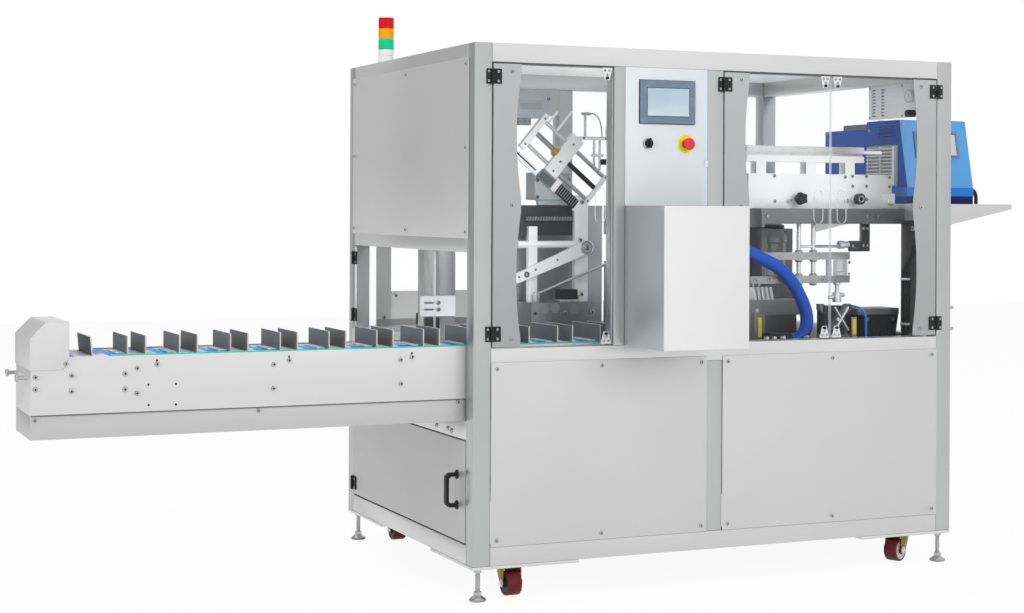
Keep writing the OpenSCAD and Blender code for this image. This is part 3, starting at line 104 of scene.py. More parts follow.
class Sock:
    """A shader output that takes part in Python expressions."""

    def __init__(self, graph: "Graph", socket: bpy.types.NodeSocket) -> None:
        """Keep the socket and the graph that it belongs to."""
        self.graph = graph
        self.socket = socket

    def _math(self, operation: str, first: "Value", second: "Value") -> "Sock":
        """Add one Math node to the graph."""
        return self.graph.add("ShaderNodeMath", {"operation": operation}, {0: first, 1: second})

    def __add__(self, other: "Value") -> "Sock":
        """Sum."""
        return self._math("ADD", self, other)

    __radd__ = __add__

    def __mul__(self, other: "Value") -> "Sock":
        """Product."""
        return self._math("MULTIPLY", self, other)

    __rmul__ = __mul__

    def __sub__(self, other: "Value") -> "Sock":
        """Difference."""
        return self._math("SUBTRACT", self, other)

    def __rsub__(self, other: "Value") -> "Sock":
        """Difference from a number."""
        return self._math("SUBTRACT", other, self)

    def __abs__(self) -> "Sock":
        """Size without its sign."""
        return self.graph.add("ShaderNodeMath", {"operation": "ABSOLUTE"}, {0: self})

    def span(self, low: float, high: float, start: float = 0.0, end: float = 1.0) -> "Sock":
        """Map a range of values to another, clamped at both ends."""
        return self.graph.add("ShaderNodeMapRange", {"clamp": True},
                              {"Value": self, "From Min": low, "From Max": high, "To Min": start, "To Max": end})

    def spread(self, start: float = 0.0, end: float = 1.0) -> "Sock":
        """Stretch the usual range of a noise to another range."""
        return self.span(0.3, 0.7, start, end)

    def output(self, name: str) -> "Sock":
        """Take another output of the same node."""
        return Sock(self.graph, self.socket.node.outputs[name])


Value = Union[Sock, float]
Setting = Union[str, int, float, bool, Sequence]


class Graph:
    """Node tree of one finish, ending in one Principled shader."""

    def __init__(self, name: str) -> None:
        """Start a material that holds an output and a shader only."""
        self.material = bpy.data.materials.new(name)
        self.material.use_nodes = True
        self.tree = self.material.node_tree
        self.tree.nodes.clear()
        self.end = self.tree.nodes.new("ShaderNodeOutputMaterial")
        self.shader = self.tree.nodes.new("ShaderNodeBsdfPrincipled")
        self.tree.links.new(self.shader.outputs[0], self.end.inputs["Surface"])

    def feed(self, node: bpy.types.Node, key: Union[str, int], value: object) -> None:
        """Set a socket's value, or link it.

        Args:
            node: Node that owns the socket.
            key: Name or index of the socket.
            value: Number, vector, colour or another socket.
        """
        if isinstance(key, str):
            target = next(s for s in node.inputs if s.name == key and s.enabled)
        else:
            target = node.inputs[key]
        if isinstance(value, Sock):
            self.tree.links.new(value.socket, target)
        elif target.type == "RGBA" and len(value) == 3:
            target.default_value = (*value, 1.0)
        else:
            target.default_value = value

    def add(self, kind: str, settings: Optional[Mapping[str, Setting]] = None,
            sockets: Optional[Mapping[Union[str, int], object]] = None) -> Sock:
        """Add a node, set it up and feed it.

        Args:
            kind: Type of the node.
            settings: Its own options, or the stops of a ramp.
            sockets: Values or links of its inputs.

        Returns:
            Its first output.
        """
        node = self.tree.nodes.new(kind)
        for key, value in (settings or {}).items():
            if key == "stops":
                ramp = node.color_ramp.elements
                while len(ramp) < len(value):
                    ramp.new(0.5)
                for stop, (place, colour) in zip(ramp, value):
                    stop.position = place
                    stop.color = (*colour, 1.0)
            else:
                setattr(node, key, value)
        for key, value in (sockets or {}).items():
            self.feed(node, key, value)
        return Sock(self, next(s for s in node.outputs if s.enabled))

    @classmethod
    def over(cls, tree: bpy.types.NodeTree) -> "Graph":
        """Work on a tree that isn't a material's."""
        graph = cls.__new__(cls)
        graph.tree = tree
        return graph

    def seen(self) -> Sock:
        """Give more than 0 for the rays that show a surface, and 0 for those that only light."""
        rays = self.add("ShaderNodeLightPath")
        return rays.output("Is Camera Ray") + rays.output("Is Glossy Ray") + rays.output("Is Transmission Ray")

    def end_with(self, shader: Sock) -> None:
        """Show another shader in place of the Principled one."""
        self.tree.links.new(shader.socket, self.end.inputs["Surface"])

    def place(self) -> Sock:
        """Give the position on the part, in metres."""
        return self.add("ShaderNodeTexCoord").output("Object")

    def along(self, axis: Axis) -> Sock:
        """Give one coordinate on the part, in metres."""
        return self.add("ShaderNodeSeparateXYZ", None, {0: self.place()}).output(axis.name)

    def facing(self, axis: Axis) -> Sock:
        """Give how far a face looks along an axis, without its sign."""
        normal = self.add("ShaderNodeNewGeometry").output("Normal")
        return abs(self.add("ShaderNodeSeparateXYZ", None, {0: normal}).output(axis.name))

    def noise(self, scale: float, stretch: Point = (1.0, 1.0, 1.0), detail: float = 3.0) -> Sock:
        """Give noise between about 0.25 and 0.75, at a scale per metre."""
        placed = self.add("ShaderNodeMapping", None, {"Vector": self.place(), "Scale": tuple(stretch)})
        return self.add("ShaderNodeTexNoise", None, {"Vector": placed, "Scale": scale, "Detail": detail})

    def mix(self, mask: Value, first: object, second: object) -> Sock:
        """Blend two colours by a mask."""
        return self.add("ShaderNodeMix", {"data_type": "RGBA"}, {"Factor": mask, "A": first, "B": second})

    def set(self, **inputs: object) -> None:
        """Set or link inputs of the shader, with _ for the blanks in their names."""
        for key, value in inputs.items():
            self.feed(self.shader, key.replace("_", " "), value)

    def bump(self, height: Sock, strength: float, depth: float) -> None:
        """Raise the surface by a height pattern, with a depth in millimetres."""
        self.set(Normal=self.add("ShaderNodeBump", None, {"Height": height, "Strength": strength,
                                                         "Distance": depth * MM}))


def shade(colour: Colour, factor: float) -> Colour:
    """Give a colour made lighter or darker."""
    return tuple(min(1.0, part * factor) for part in colour)


@dataclass(frozen=True)
class Finish:
    """A named surface finish."""

    name: str
    tint: Colour

    def build(self, graph: Graph) -> None:
        """Dress the graph of this finish."""
        raise NotImplementedError

    def material(self) -> bpy.types.Material:
        """Give the material, made once."""
        name = f"finish_{self.name}"
        found = bpy.data.materials.get(name)
        if found is None:
            graph = Graph(name)
            self.build(graph)
            found = graph.material
        return found


@dataclass(frozen=True)
class BrushedSteel(Finish):
    """Stainless sheet brushed along one axis, with cloudy patches and fine lines, and painted shade that can darken
    it towards the bottom.
    """

    grain: Axis = Axis.X
    rough: float = 0.34
    metal: float = 0.8
    cloud: float = 0.04
    # How much the sheet is painted darker at the bottom of its height range: painted shade.
    painted_shade: float = 0.0
    line_scale: float = 900.0
    line_share: float = 0.15
    cloud_scale: float = 1.9
    painted_shade_z: Spot = (0.80, 1.70)

    def build(self, graph: Graph) -> None:
        """Fine stretched lines over slow clouds."""
        stretch = [1.0, 1.0, 1.0]
        stretch[self.grain.value] = 0.02
        lines = graph.noise(self.line_scale, stretch, 2.0)
        cloud = graph.noise(self.cloud_scale, detail=2.0)
        tone = lines.spread() * self.line_share + cloud.spread() * (1 - self.line_share)
        colour = graph.mix(tone, shade(self.tint, 1 - self.cloud), shade(self.tint, 1 + self.cloud))
        # Painted shade: the colour darkens towards the bottom of the height range.
        if self.painted_shade:
            height = graph.along(Axis.Z).span(*self.painted_shade_z)
            colour = graph.mix(height, shade(self.tint, 1 - self.painted_shade), colour)
        graph.set(Base_Color=colour, Metallic=self.metal,
                  Roughness=lines.spread(self.rough - 0.04, self.rough + 0.06))
        graph.bump(lines, 0.05, 0.02)


@dataclass(frozen=True)
class Paint(Finish):
    """Sprayed or powder coat with a soft peel."""

    rough: float = 0.42
    peel: float = 0.12
    gloss: float = 0.4
    peel_scale: float = 900.0
    cloud_scale: float = 2.2

    def build(self, graph: Graph) -> None:
        """Fine peel, with slow changes of tone."""
        peel = graph.noise(self.peel_scale, detail=2.0)
        cloud = graph.noise(self.cloud_scale, detail=2.0)
        graph.set(Base_Color=graph.mix(cloud.spread(), shade(self.tint, 0.97), shade(self.tint, 1.03)),
                  Roughness=cloud.span(0.25, 0.75, self.rough - 0.05, self.rough + 0.05),
                  Specular_IOR_Level=self.gloss)
        graph.bump(peel, self.peel, 0.06)


@dataclass(frozen=True)
class Moulded(Finish):
    """Moulded plastic or rubber with a fine grain."""

    rough: float = 0.5
    grain: float = 0.2
    gloss: float = 0.3
    grain_scale: float = 1500.0
    scuff_scale: float = 40.0

    def build(self, graph: Graph) -> None:
        """Fine grain and faint scuffs."""
        grain = graph.noise(self.grain_scale, detail=2.0)
        scuff = graph.noise(self.scuff_scale, detail=4.0)
        graph.set(Base_Color=graph.mix(scuff.span(0.5, 0.75), self.tint, shade(self.tint, 1.25)),
                  Roughness=grain.spread(self.rough - 0.07, self.rough + 0.09),
                  Specular_IOR_Level=self.gloss)
        graph.bump(grain, self.grain, 0.05)


@dataclass(frozen=True)
class Machined(Finish):
    """Bare turned, ground or plated metal."""

    rough: float = 0.25
    metal: float = 1.0
    mark_scale: float = 700.0
    haze_scale: float = 14.0

    def build(self, graph: Graph) -> None:
        """Tool marks with a little handling haze."""
        marks = graph.noise(self.mark_scale, (1.0, 1.0, 0.2), 2.0)
        haze = graph.noise(self.haze_scale)
        graph.set(Base_Color=graph.mix(haze.spread(), shade(self.tint, 0.92), shade(self.tint, 1.06)),
                  Metallic=self.metal, Roughness=marks.spread(self.rough - 0.05, self.rough + 0.06))
        graph.bump(marks, 0.04, 0.02)


@dataclass(frozen=True)
class ClearSheet(Finish):
    """Clear acrylic: almost unseen on its faces and bright on its cut edges."""

    across: Axis = Axis.Y
    body: float = 0.008
    edge: float = 0.6
    edge_tint: Colour = (0.93, 0.96, 0.97)
    index: float = 1.49
    shine: float = 0.18

    def build(self, graph: Graph) -> None:
        """Thin faces, milky edges and faint wiping marks."""
        rim = 1 - graph.facing(self.across).span(0.3, 0.9)
        wipe = graph.noise(9.0, (1.0, 1.0, 0.35), 3.0)
        graph.set(Base_Color=graph.mix(rim, self.tint, self.edge_tint),
                  Alpha=rim.span(0.0, 1.0, self.body, self.edge), Roughness=wipe.spread(0.02, 0.06),
                  IOR=self.index, Specular_IOR_Level=self.shine)


@dataclass(frozen=True)
class Lens(Finish):
    """Ribbed coloured lens of the signal tower."""

    def build(self, graph: Graph) -> None:
        """Fine rings in a bright clear plastic."""
        rings = graph.add("ShaderNodeTexWave", {"wave_type": "BANDS", "bands_direction": "Z"},
                          {"Vector": graph.place(), "Scale": 60.0, "Distortion": 0.0})
        graph.set(Base_Color=graph.mix(rings, shade(self.tint, 0.8), self.tint), Roughness=0.25,
                  Specular_IOR_Level=0.15, Emission_Color=self.tint, Emission_Strength=0.12)
        graph.bump(rings, 0.4, 0.6)


@dataclass(frozen=True)
class ScreenFace(Finish):
    """Lit touch screen: a pale field that darkens towards its top, with soft bands."""

    low_z: float = 1.545
    high_z: float = 1.64
    pale: Colour = (0.46, 0.54, 0.60)
    deep: Colour = (0.30, 0.40, 0.47)
    glow: float = 0.10

    def build(self, graph: Graph) -> None:
        """Slow bands of pale blue and grey."""
        height = graph.along(Axis.Z)
        sheen = graph.noise(7.0, (1.0, 1.0, 2.4), 2.0)
        tone = height.span(self.low_z, self.high_z) * 0.6 + sheen.span(0.35, 0.65) * 0.4
        colour = graph.mix(tone, self.pale, self.deep)
        graph.set(Base_Color=colour, Roughness=0.2, Emission_Color=colour, Emission_Strength=self.glow)


# The finishes of this machine
# A darker copy of the rail steel for the upright tubes: painted shade, where their vertical grain looks darker
# under the light.
FRAME_UP_PAINTED_SHADE = BrushedSteel("post_steel_painted_shade", (0.48, 0.485, 0.485), Axis.Z, 0.34, 0.8, 0.05)
FRAME_X = BrushedSteel("rail_steel", (0.67, 0.67, 0.67), Axis.X)
FRAME_Y = BrushedSteel("cross_rail_steel", (0.66, 0.665, 0.66), Axis.Y)
SHEET = BrushedSteel("panel_steel", (0.59, 0.59, 0.59), Axis.Z, 0.42, 0.65, 0.02)
# A lighter copy of the panel steel for the side faces: painted light.
SIDE_SHEET_PAINTED_LIGHT = BrushedSteel("side_panel_painted_light", (0.70, 0.70, 0.70), Axis.Z, 0.42, 0.7, 0.04)
ROOF_WHITE = Paint("roof_white", (0.86, 0.86, 0.86), 0.4)
# A darker copy of the side panel steel for the side door: painted shade.
DOOR_SHEET_PAINTED_SHADE = BrushedSteel("side_door_painted_shade", (0.52, 0.52, 0.52), Axis.Z, 0.42, 0.7, 0.04)
# The door strips are painted darker towards the bottom as shade.
STRIP_STEEL = BrushedSteel("strip_steel", (0.50, 0.505, 0.51), Axis.Z, 0.32, 0.85, 0.05, 0.22)
BOX_STEEL = BrushedSteel("box_steel", (0.58, 0.59, 0.60), Axis.Z, 0.42, 0.75, 0.06)
DECK_STEEL = BrushedSteel("deck_steel", (0.20, 0.205, 0.21), Axis.X, 0.38, 0.8, 0.12)
CONVEYOR_STEEL = BrushedSteel("conveyor_steel", (0.63, 0.63, 0.63), Axis.X, 0.44, 0.5, 0.02)
TRAY_STEEL = BrushedSteel("tray_steel", (0.52, 0.52, 0.52), Axis.X, 0.42, 0.6, 0.02)
BEAM_STEEL = BrushedSteel("beam_steel", (0.19, 0.195, 0.20), Axis.X, 0.40, 0.6, 0.30)
WALL_STEEL = BrushedSteel("wall_steel", (0.24, 0.24, 0.245), Axis.X, 0.34, 0.8, 0.25)
BACK_STEEL = BrushedSteel("back_plate_steel", (0.42, 0.42, 0.425), Axis.Z, 0.34, 0.7, 0.35)
BASE_STEEL = BrushedSteel("base_steel", (0.23, 0.23, 0.235), Axis.X, 0.42, 0.6, 0.12)
ARM_ALLOY = BrushedSteel("arm_alloy", (0.86, 0.86, 0.865), Axis.X, 0.40, 0.15, 0.04)
RAIL_ALLOY = BrushedSteel("extrusion_alloy", (0.64, 0.64, 0.645), Axis.X, 0.30, 0.7, 0.12)
BAR_ALLOY = BrushedSteel("bar_alloy", (0.34, 0.34, 0.345), Axis.X, 0.36, 0.6, 0.14)
PLATE_WHITE = Paint("white_plate", (0.74, 0.745, 0.75), 0.38)
PANEL_PAINT = Paint("operator_paint", (0.60, 0.645, 0.67), 0.44)
BOX_WHITE = Paint("front_white", (0.65, 0.65, 0.65), 0.42)
GREY_PAINT = Paint("grey_paint", (0.36, 0.40, 0.42), 0.45)
LID_GREY = Paint("lid_grey", (0.12, 0.125, 0.13), 0.45)
DARK_STEEL = Machined("dark_steel", (0.045, 0.045, 0.048), 0.38, 0.5)
BRIGHT_STEEL = Machined("bright_steel", (0.74, 0.74, 0.75), 0.24, 0.75)
SCREW_STEEL = Machined("screw_steel", (0.46, 0.46, 0.47), 0.20, 0.95)
CAST_ALLOY = Machined("cast_alloy", (0.50, 0.505, 0.51), 0.42, 0.5)
CHROME = Machined("chrome_trim", (0.74, 0.74, 0.76), 0.12)
BRASS = Machined("brass", (0.72, 0.52, 0.20), 0.26)
# Darkened below bright yellow zinc: painted shade for the fork's broad faces, which look away from the light.
GOLD_ZINC = Machined("gold_zinc", (0.24, 0.155, 0.032), 0.30, 0.8)
STUD_STEEL = Machined("stud_steel", (0.50, 0.50, 0.51), 0.22, 0.95)
FOOT_GREY = Moulded("foot_grey", (0.28, 0.28, 0.285), 0.5)
ROOF_STEEL = BrushedSteel("roof_steel", (0.50, 0.50, 0.505), Axis.X, 0.45, 0.5, 0.02)
# A darker copy of the rail steel for the rails near the floor: painted shade.
RAIL_LOW_PAINTED_SHADE = BrushedSteel("low_rail_painted_shade", (0.60, 0.595, 0.595), Axis.X)
# A near-black copy of the post steel for part of a post inside the right bay: painted shade.
POST_PAINTED_SHADE = BrushedSteel("inner_post_painted_shade", (0.075, 0.072, 0.072), Axis.Z, 0.4, 0.6, 0.3)
BLACK = Moulded("black_plastic", (0.012, 0.012, 0.013), 0.42)
RUBBER = Moulded("black_rubber", (0.015, 0.015, 0.016), 0.65, 0.3)
BEZEL = Moulded("bezel_plastic", (0.13, 0.185, 0.25), 0.3, 0.05)
RED_PLASTIC = Moulded("stop_red", (0.62, 0.03, 0.05), 0.36, 0.05)
YELLOW = Moulded("signal_yellow", (0.80, 0.62, 0.01), 0.40, 0.05)
TREAD = Moulded("maroon_tread", (0.11, 0.012, 0.015), 0.42, 0.15, 0.2)
HUB = Moulded("hub_black", (0.014, 0.015, 0.016), 0.5)
SLAT_GREY = Moulded("slat_grey", (0.70, 0.68, 0.70), 0.5, 0.15)
SLAT_BLUE = Moulded("slat_blue", (0.02, 0.17, 0.68), 0.45, 0.15)
SLAT_PALE = Moulded("slat_pale_blue", (0.02, 0.33, 0.86), 0.45, 0.15)
PADDLE = Paint("paddle_grey", (0.145, 0.15, 0.16), 0.5, 0.12, 0.3)
PADDLE_EDGE = Paint("paddle_edge", (0.55, 0.51, 0.51), 0.5)
WEAR_GREEN = Moulded("wear_green", (0.005, 0.52, 0.38), 0.42, 0.1)
HOSE_BLUE = Moulded("hose_blue", (0.004, 0.062, 0.40), 0.36, 0.12, 0.25)
LINE_BLUE = Moulded("line_blue", (0.0, 0.25, 0.80), 0.3, 0.05, 0.2)
UNIT_BLUE = Paint("unit_blue", (0.004, 0.078, 0.42), 0.40, 0.3, 0.08)
# A paler copy of the unit's blue for its front faces: painted light; the deeper blue elsewhere stands for the same
# paint in shade.
UNIT_BLUE_PAINTED_LIGHT = Paint("unit_blue_painted_light", (0.09, 0.31, 0.64), 0.38, 0.3, 0.25)
UNIT_MID = Paint("unit_mid_blue", (0.02, 0.17, 0.58), 0.38, 0.3, 0.2)
UNIT_NAVY = Paint("unit_navy", (0.004, 0.016, 0.10), 0.4, 0.3, 0.15)
PANE_Y = ClearSheet("door_acrylic", (0.86, 0.92, 0.94), Axis.Y)
PANE_X = ClearSheet("side_acrylic", (0.86, 0.92, 0.94), Axis.X)
WINDOW = ClearSheet("window_acrylic", (0.86, 0.92, 0.94), Axis.Z, 0.02, 0.02)
GREEN_LENS = Lens("green_lens", (0.0, 0.55, 0.26))
AMBER_LENS = Lens("amber_lens", (0.80, 0.33, 0.0))
RED_LENS = Lens("red_lens", (0.60, 0.004, 0.012))
SCREEN = ScreenFace("screen_face", (0.6, 0.7, 0.8))


def basis(direction: Vector) -> Matrix:
    """Give a turn that takes the Z axis to a direction."""
    return direction.to_track_quat("Z", "Y").to_matrix().to_4x4()


class Shape:
    """A mesh in the making, in cabinet millimetres, of one or more finishes."""

    def __init__(self, name: str, *finishes: Finish) -> None:
        """Start empty, with the first finish in use."""
        self.name = name
        self.points: list[Vector] = []
        self.faces: list[list[int]] = []
        self.marks: list[int] = []
        self.finishes: list[Finish] = []
        self.mark = 0
        self.pose = Matrix.Identity(4)
        for finish in reversed(finishes):
            self.use(finish)

    def use(self, finish: Finish) -> "Shape":
        """Give what follows this finish."""
        if finish not in self.finishes:
            self.finishes.append(finish)
        self.mark = self.finishes.index(finish)
        return self

    def add(self, points: Iterable[Point], faces: Iterable[Sequence[int]]) -> "Shape":
        """Take in points and faces, turned by the pose in use."""
        start = len(self.points)
        self.points += [self.pose @ Vector(point) for point in points]
        for face in faces:
            self.faces.append([start + index for index in face])
            self.marks.append(self.mark)
        return self

    def block(self, low: Point, high: Point, ease: float = 1.0) -> "Shape":
        """Add a box with eased edges between two opposite corners."""
        ends = [[min(a, b), max(a, b)] for a, b in zip(low, high)]
        cut = min([ease] + [EASE_SHARE * (b - a) for a, b in ends])
        points, index = [], {}
        sides = [(a, b, c) for a in (0, 1) for b in (0, 1) for c in (0, 1)]
        for side in sides:
            for axis in range(3):
                point = [ends[k][side[k]] + (0 if k == axis else cut * (1 - 2 * side[k])) for k in range(3)]
                index[side, axis] = len(points)
                points.append(point)
        faces = [[index[side, axis] for axis in range(3)] for side in sides]
        ring = ((0, 0), (1, 0), (1, 1), (0, 1))
        for axis in range(3):
            a, b = [k for k in range(3) if k != axis]
            for level in (0, 1):
                face = []
                for u, v in ring:
                    side = [0, 0, 0]
                    side[axis], side[a], side[b] = level, u, v
                    face.append(index[tuple(side), axis])
                faces.append(face)
            for u, v in ring:
                lower, upper = [0, 0, 0], [0, 0, 0]
                lower[a], lower[b], upper[a], upper[b], upper[axis] = u, v, u, v, 1
                faces.append([index[tuple(lower), a], index[tuple(upper), a],
                              index[tuple(upper), b], index[tuple(lower), b]])
        return self.add(points, faces)

    def lathe(self, start: Point, direction: Point, profile: Sequence[Spot],
              sides: int = 24) -> "Shape":
        """Turn a profile of radius and height round an axis.

        Args:
            start: Foot of the axis.
            direction: Way that the heights run.
            profile: Radius and height of each ring, from end to end.
            sides: Number of flats.

        Returns:
            The shape itself.
        """
        turn = Matrix.Translation(Vector(start)) @ basis(Vector(direction))
        points, rings = [], []
        for radius, height in profile:
            count = 1 if radius == 0 else sides
            rings.append(range(len(points), len(points) + count))
            points += [turn @ Vector((radius * math.cos(2 * math.pi * k / sides),
                                      radius * math.sin(2 * math.pi * k / sides), height)) for k in range(count)]
        faces: list[list[int]] = []
        for lower, upper in zip(rings, rings[1:]):
            for k in range(sides):
                n = (k + 1) % sides
                if len(lower) == 1:
                    faces.append([lower[0], upper[k], upper[n]])
                elif len(upper) == 1:
                    faces.append([lower[k], lower[n], upper[0]])
                else:
                    faces.append([lower[k], lower[n], upper[n], upper[k]])
        faces += [list(ring) for ring in (rings[0], rings[-1]) if len(ring) > 1]
        return self.add(points, faces)

    def bar(self, start: Point, end: Point, radius: float, ease: float = 0.8, sides: int = 24) -> "Shape":
        """Add a round bar with eased ends between two points."""
        way = Vector(end) - Vector(start)
        length = way.length
        cut = min(ease, EASE_SHARE * radius, EASE_SHARE * length)
        return self.lathe(start, way, [(radius - cut, 0), (radius, cut), (radius, length - cut),
                                       (radius - cut, length)], sides)

    def prism(self, outline: Sequence[Spot], axis: Axis, low: float, high: float,
              ease: float = 0.8) -> "Shape":
        """Draw an outline out along an axis, with eased rims.

        Args:
            outline: Corners in the two other axes, in their order.
            axis: Way that the outline is drawn out.
            low: Where it starts.
            high: Where it ends.
            ease: Width of the eased rim.

        Returns:
            The shape itself.
        """
        area = sum(a[0] * b[1] - b[0] * a[1] for a, b in zip(outline, [*outline[1:], outline[0]]))
        flat = [Vector(point) for point in (outline if area > 0 else reversed(outline))]
        cut = min(ease, EASE_SHARE * (high - low))
        count = len(flat)
        inner = []
        for k, point in enumerate(flat):
            before, after = (point - flat[k - 1]).normalized(), (flat[(k + 1) % count] - point).normalized()
            first, second = Vector((-before.y, before.x)), Vector((-after.y, after.x))
            middle = first + second
            inner.append(point + middle * (cut / max(0.3, 0.5 * middle.length_squared)))
        points, faces = [], []
        for level, ring in ((low, inner), (low + cut, flat), (high - cut, flat), (high, inner)):
            for point in ring:
                place = [point.x, point.y]
                place.insert(axis.value, level)
                points.append(place)
        for row in range(3):
            for k in range(count):
                n = (k + 1) % count
                faces.append([row * count + k, row * count + n, (row + 1) * count + n, (row + 1) * count + k])
        faces += [list(range(count)), list(range(3 * count, 4 * count))]
        return self.add(points, faces)

    def tube(self, path: Sequence[Point], radius: float, sides: int = 12, steps: int = 4) -> "Shape":
        """Sweep a round section along a smooth path."""
        line = smooth([Vector(point) for point in path], steps)
        points, faces = [], []
        side = Vector(UP)
        for k, point in enumerate(line):
            way = (line[min(k + 1, len(line) - 1)] - line[max(k - 1, 0)]).normalized()
            side = side - way * side.dot(way)
            if side.length < 0.05:
                side = Vector((0, 1, 0)) - way * way.y
            side.normalize()
            other = way.cross(side)
            points += [point + radius * (math.cos(a) * side + math.sin(a) * other)
                       for a in (2 * math.pi * n / sides for n in range(sides))]
        for k in range(len(line) - 1):
            for n in range(sides):
                m = (n + 1) % sides
                faces.append([k * sides + n, k * sides + m, (k + 1) * sides + m, (k + 1) * sides + n])
        last = (len(line) - 1) * sides
        faces += [list(range(sides)), list(range(last, last + sides))]
        return self.add(points, faces)

    def screw(self, place: Point, way: Point, head: Head = Head.PANEL) -> "Shape":
        """Add a socket screw head that looks along a direction."""
        radius, height = head.value
        keep = self.mark
        dome = [(radius, -0.4), (radius, 0.4 * height), (0.85 * radius, 0.8 * height), (0.6 * radius, height),
                (0.38 * radius, height)]
        # The socket well is black: painted shade in the recess.
        painted_shade_well = [(0.38 * radius, height), (0.34 * radius, 0.5 * height), (0, 0.45 * height)]
        for finish, profile in ((SCREW_STEEL, dome), (BLACK, painted_shade_well)):
            self.use(finish).lathe(place, way, profile, 12)
            self.faces.pop()
            self.marks.pop()
        self.mark = keep
        return self

    def row(self, y: float, places: Iterable[Spot], head: Head = Head.PANEL) -> "Shape":
        """Add screw heads that look to the front from one plane, at places of x and z."""
        for x, z in places:
            self.screw((x, y, z), FRONT, head)
        return self

    def ride(self, body: str, slot: str, *nodes: str) -> bpy.types.Object:
        """Turn the shape into a piece that moves with a body.

        Args:
            body: Name of the body.
            slot: Material slot of the record; not used.
            nodes: Solids that it stands for.

        Returns:
            The piece.
        """
        mesh = bpy.data.meshes.new(self.name)
        mesh.from_pydata([ORIGIN + point * MM for point in self.points], [], self.faces)
        for finish in self.finishes:
            mesh.materials.append(finish.material())
        mesh.polygons.foreach_set("material_index", self.marks)
        work = bmesh.new()
        work.from_mesh(mesh)
        bmesh.ops.remove_doubles(work, verts=work.verts, dist=WELD)
        bmesh.ops.recalc_face_normals(work, faces=work.faces)
        work.to_mesh(mesh)
        work.free()
        return settle(self.name, mesh, body, slot, *nodes)


def smooth(path: Sequence[Vector], steps: int) -> list[Vector]:
    """Round a path off with a curve through its points."""
    line = []
    for k in range(len(path) - 1):
        a, b, c, d = path[max(k - 1, 0)], path[k], path[k + 1], path[min(k + 2, len(path) - 1)]
        for n in range(steps):
            t = n / steps
            line.append(0.5 * (2 * b + (c - a) * t + (2 * a - 5 * b + 4 * c - d) * t * t
                               + (3 * b - a - 3 * c + d) * t * t * t))
    return line + [path[-1]]


def settle(name: str, mesh: bpy.types.Mesh, body: str, slot: str, *nodes: str) -> bpy.types.Object:
    """Put a finished mesh on its body and shade it smooth between its sharp edges."""
    mesh.polygons.foreach_set("use_smooth", [True] * len(mesh.polygons))
    mesh.set_sharp_from_angle(angle=SMOOTH_TO)
    piece = bpy.data.objects.new(name, mesh)
    bpy.context.scene.collection.objects.link(piece)
    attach(piece, body)
    if nodes:
        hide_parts(*nodes)
    LOG.info("piece %s rides %s", name, body)
    return piece


@dataclass(frozen=True)
class Zone:
    """A finish for the faces inside a box of the cabinet that look a given way."""

    finish: Finish
    low: Place = (-FAR, -FAR, -FAR)
    high: Place = (FAR, FAR, FAR)
    way: Optional[Place] = None

    def holds(self, centre: Vector, normal: Vector) -> bool:
        """Tell whether a face belongs to this zone."""
        inside = all(a <= c <= b for a, c, b in zip(self.low, centre, self.high))
        return inside and (self.way is None or normal.dot(Vector(self.way)) > LOOKS_ALONG)


def eased(node: str, finish: Finish, body: str, slot: str, width: float = 1.5,
          zones: Sequence[Zone] = ()) -> bpy.types.Object:
    """Stand in for a solid with a copy whose edges are rounded.

    Args:
        node: Name of the solid.
        finish: Its finish.
        body: Body that it moves with.
        slot: Material slot of the record; not used.
        width: Width of the rounding, in millimetres.
        zones: Stretches of it that have another finish, the first that fits.

    Returns:
        The piece.
    """
    work = bmesh.new()
    work.from_mesh(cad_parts[node].data)
    bmesh.ops.remove_doubles(work, verts=work.verts, dist=2 * WELD)
    bmesh.ops.dissolve_limit(work, angle_limit=0.01, verts=work.verts, edges=work.edges)
    sharp = [edge for edge in work.edges
             if len(edge.link_faces) == 2 and edge.calc_face_angle(0.0) > BEVEL_FROM]
    bmesh.ops.bevel(work, geom=sharp, offset=width * MM, offset_type="OFFSET", segments=2, profile=0.5,
                    affect="EDGES", clamp_overlap=True)
    bmesh.ops.recalc_face_normals(work, faces=work.faces)
    mesh = bpy.data.meshes.new(f"{node}_dressed")
    work.to_mesh(mesh)
    work.free()
    mesh.materials.clear()
    for each in (finish, *(zone.finish for zone in zones)):
        mesh.materials.append(each.material())
    for polygon in mesh.polygons:
        centre = (polygon.center - ORIGIN) / MM
        fits = (k + 1 for k, zone in enumerate(zones) if zone.holds(centre, polygon.normal))
        polygon.material_index = next(fits, 0)
    return settle(f"{node}_dressed", mesh, body, slot, node)


def dress(node: str, finish: Finish) -> None:
    """Give a solid that keeps its shape a finish."""
    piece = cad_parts[node]
    piece.data.materials.clear()
    piece.data.materials.append(finish.material())
    LOG.info("solid %s takes %s", node, finish.name)


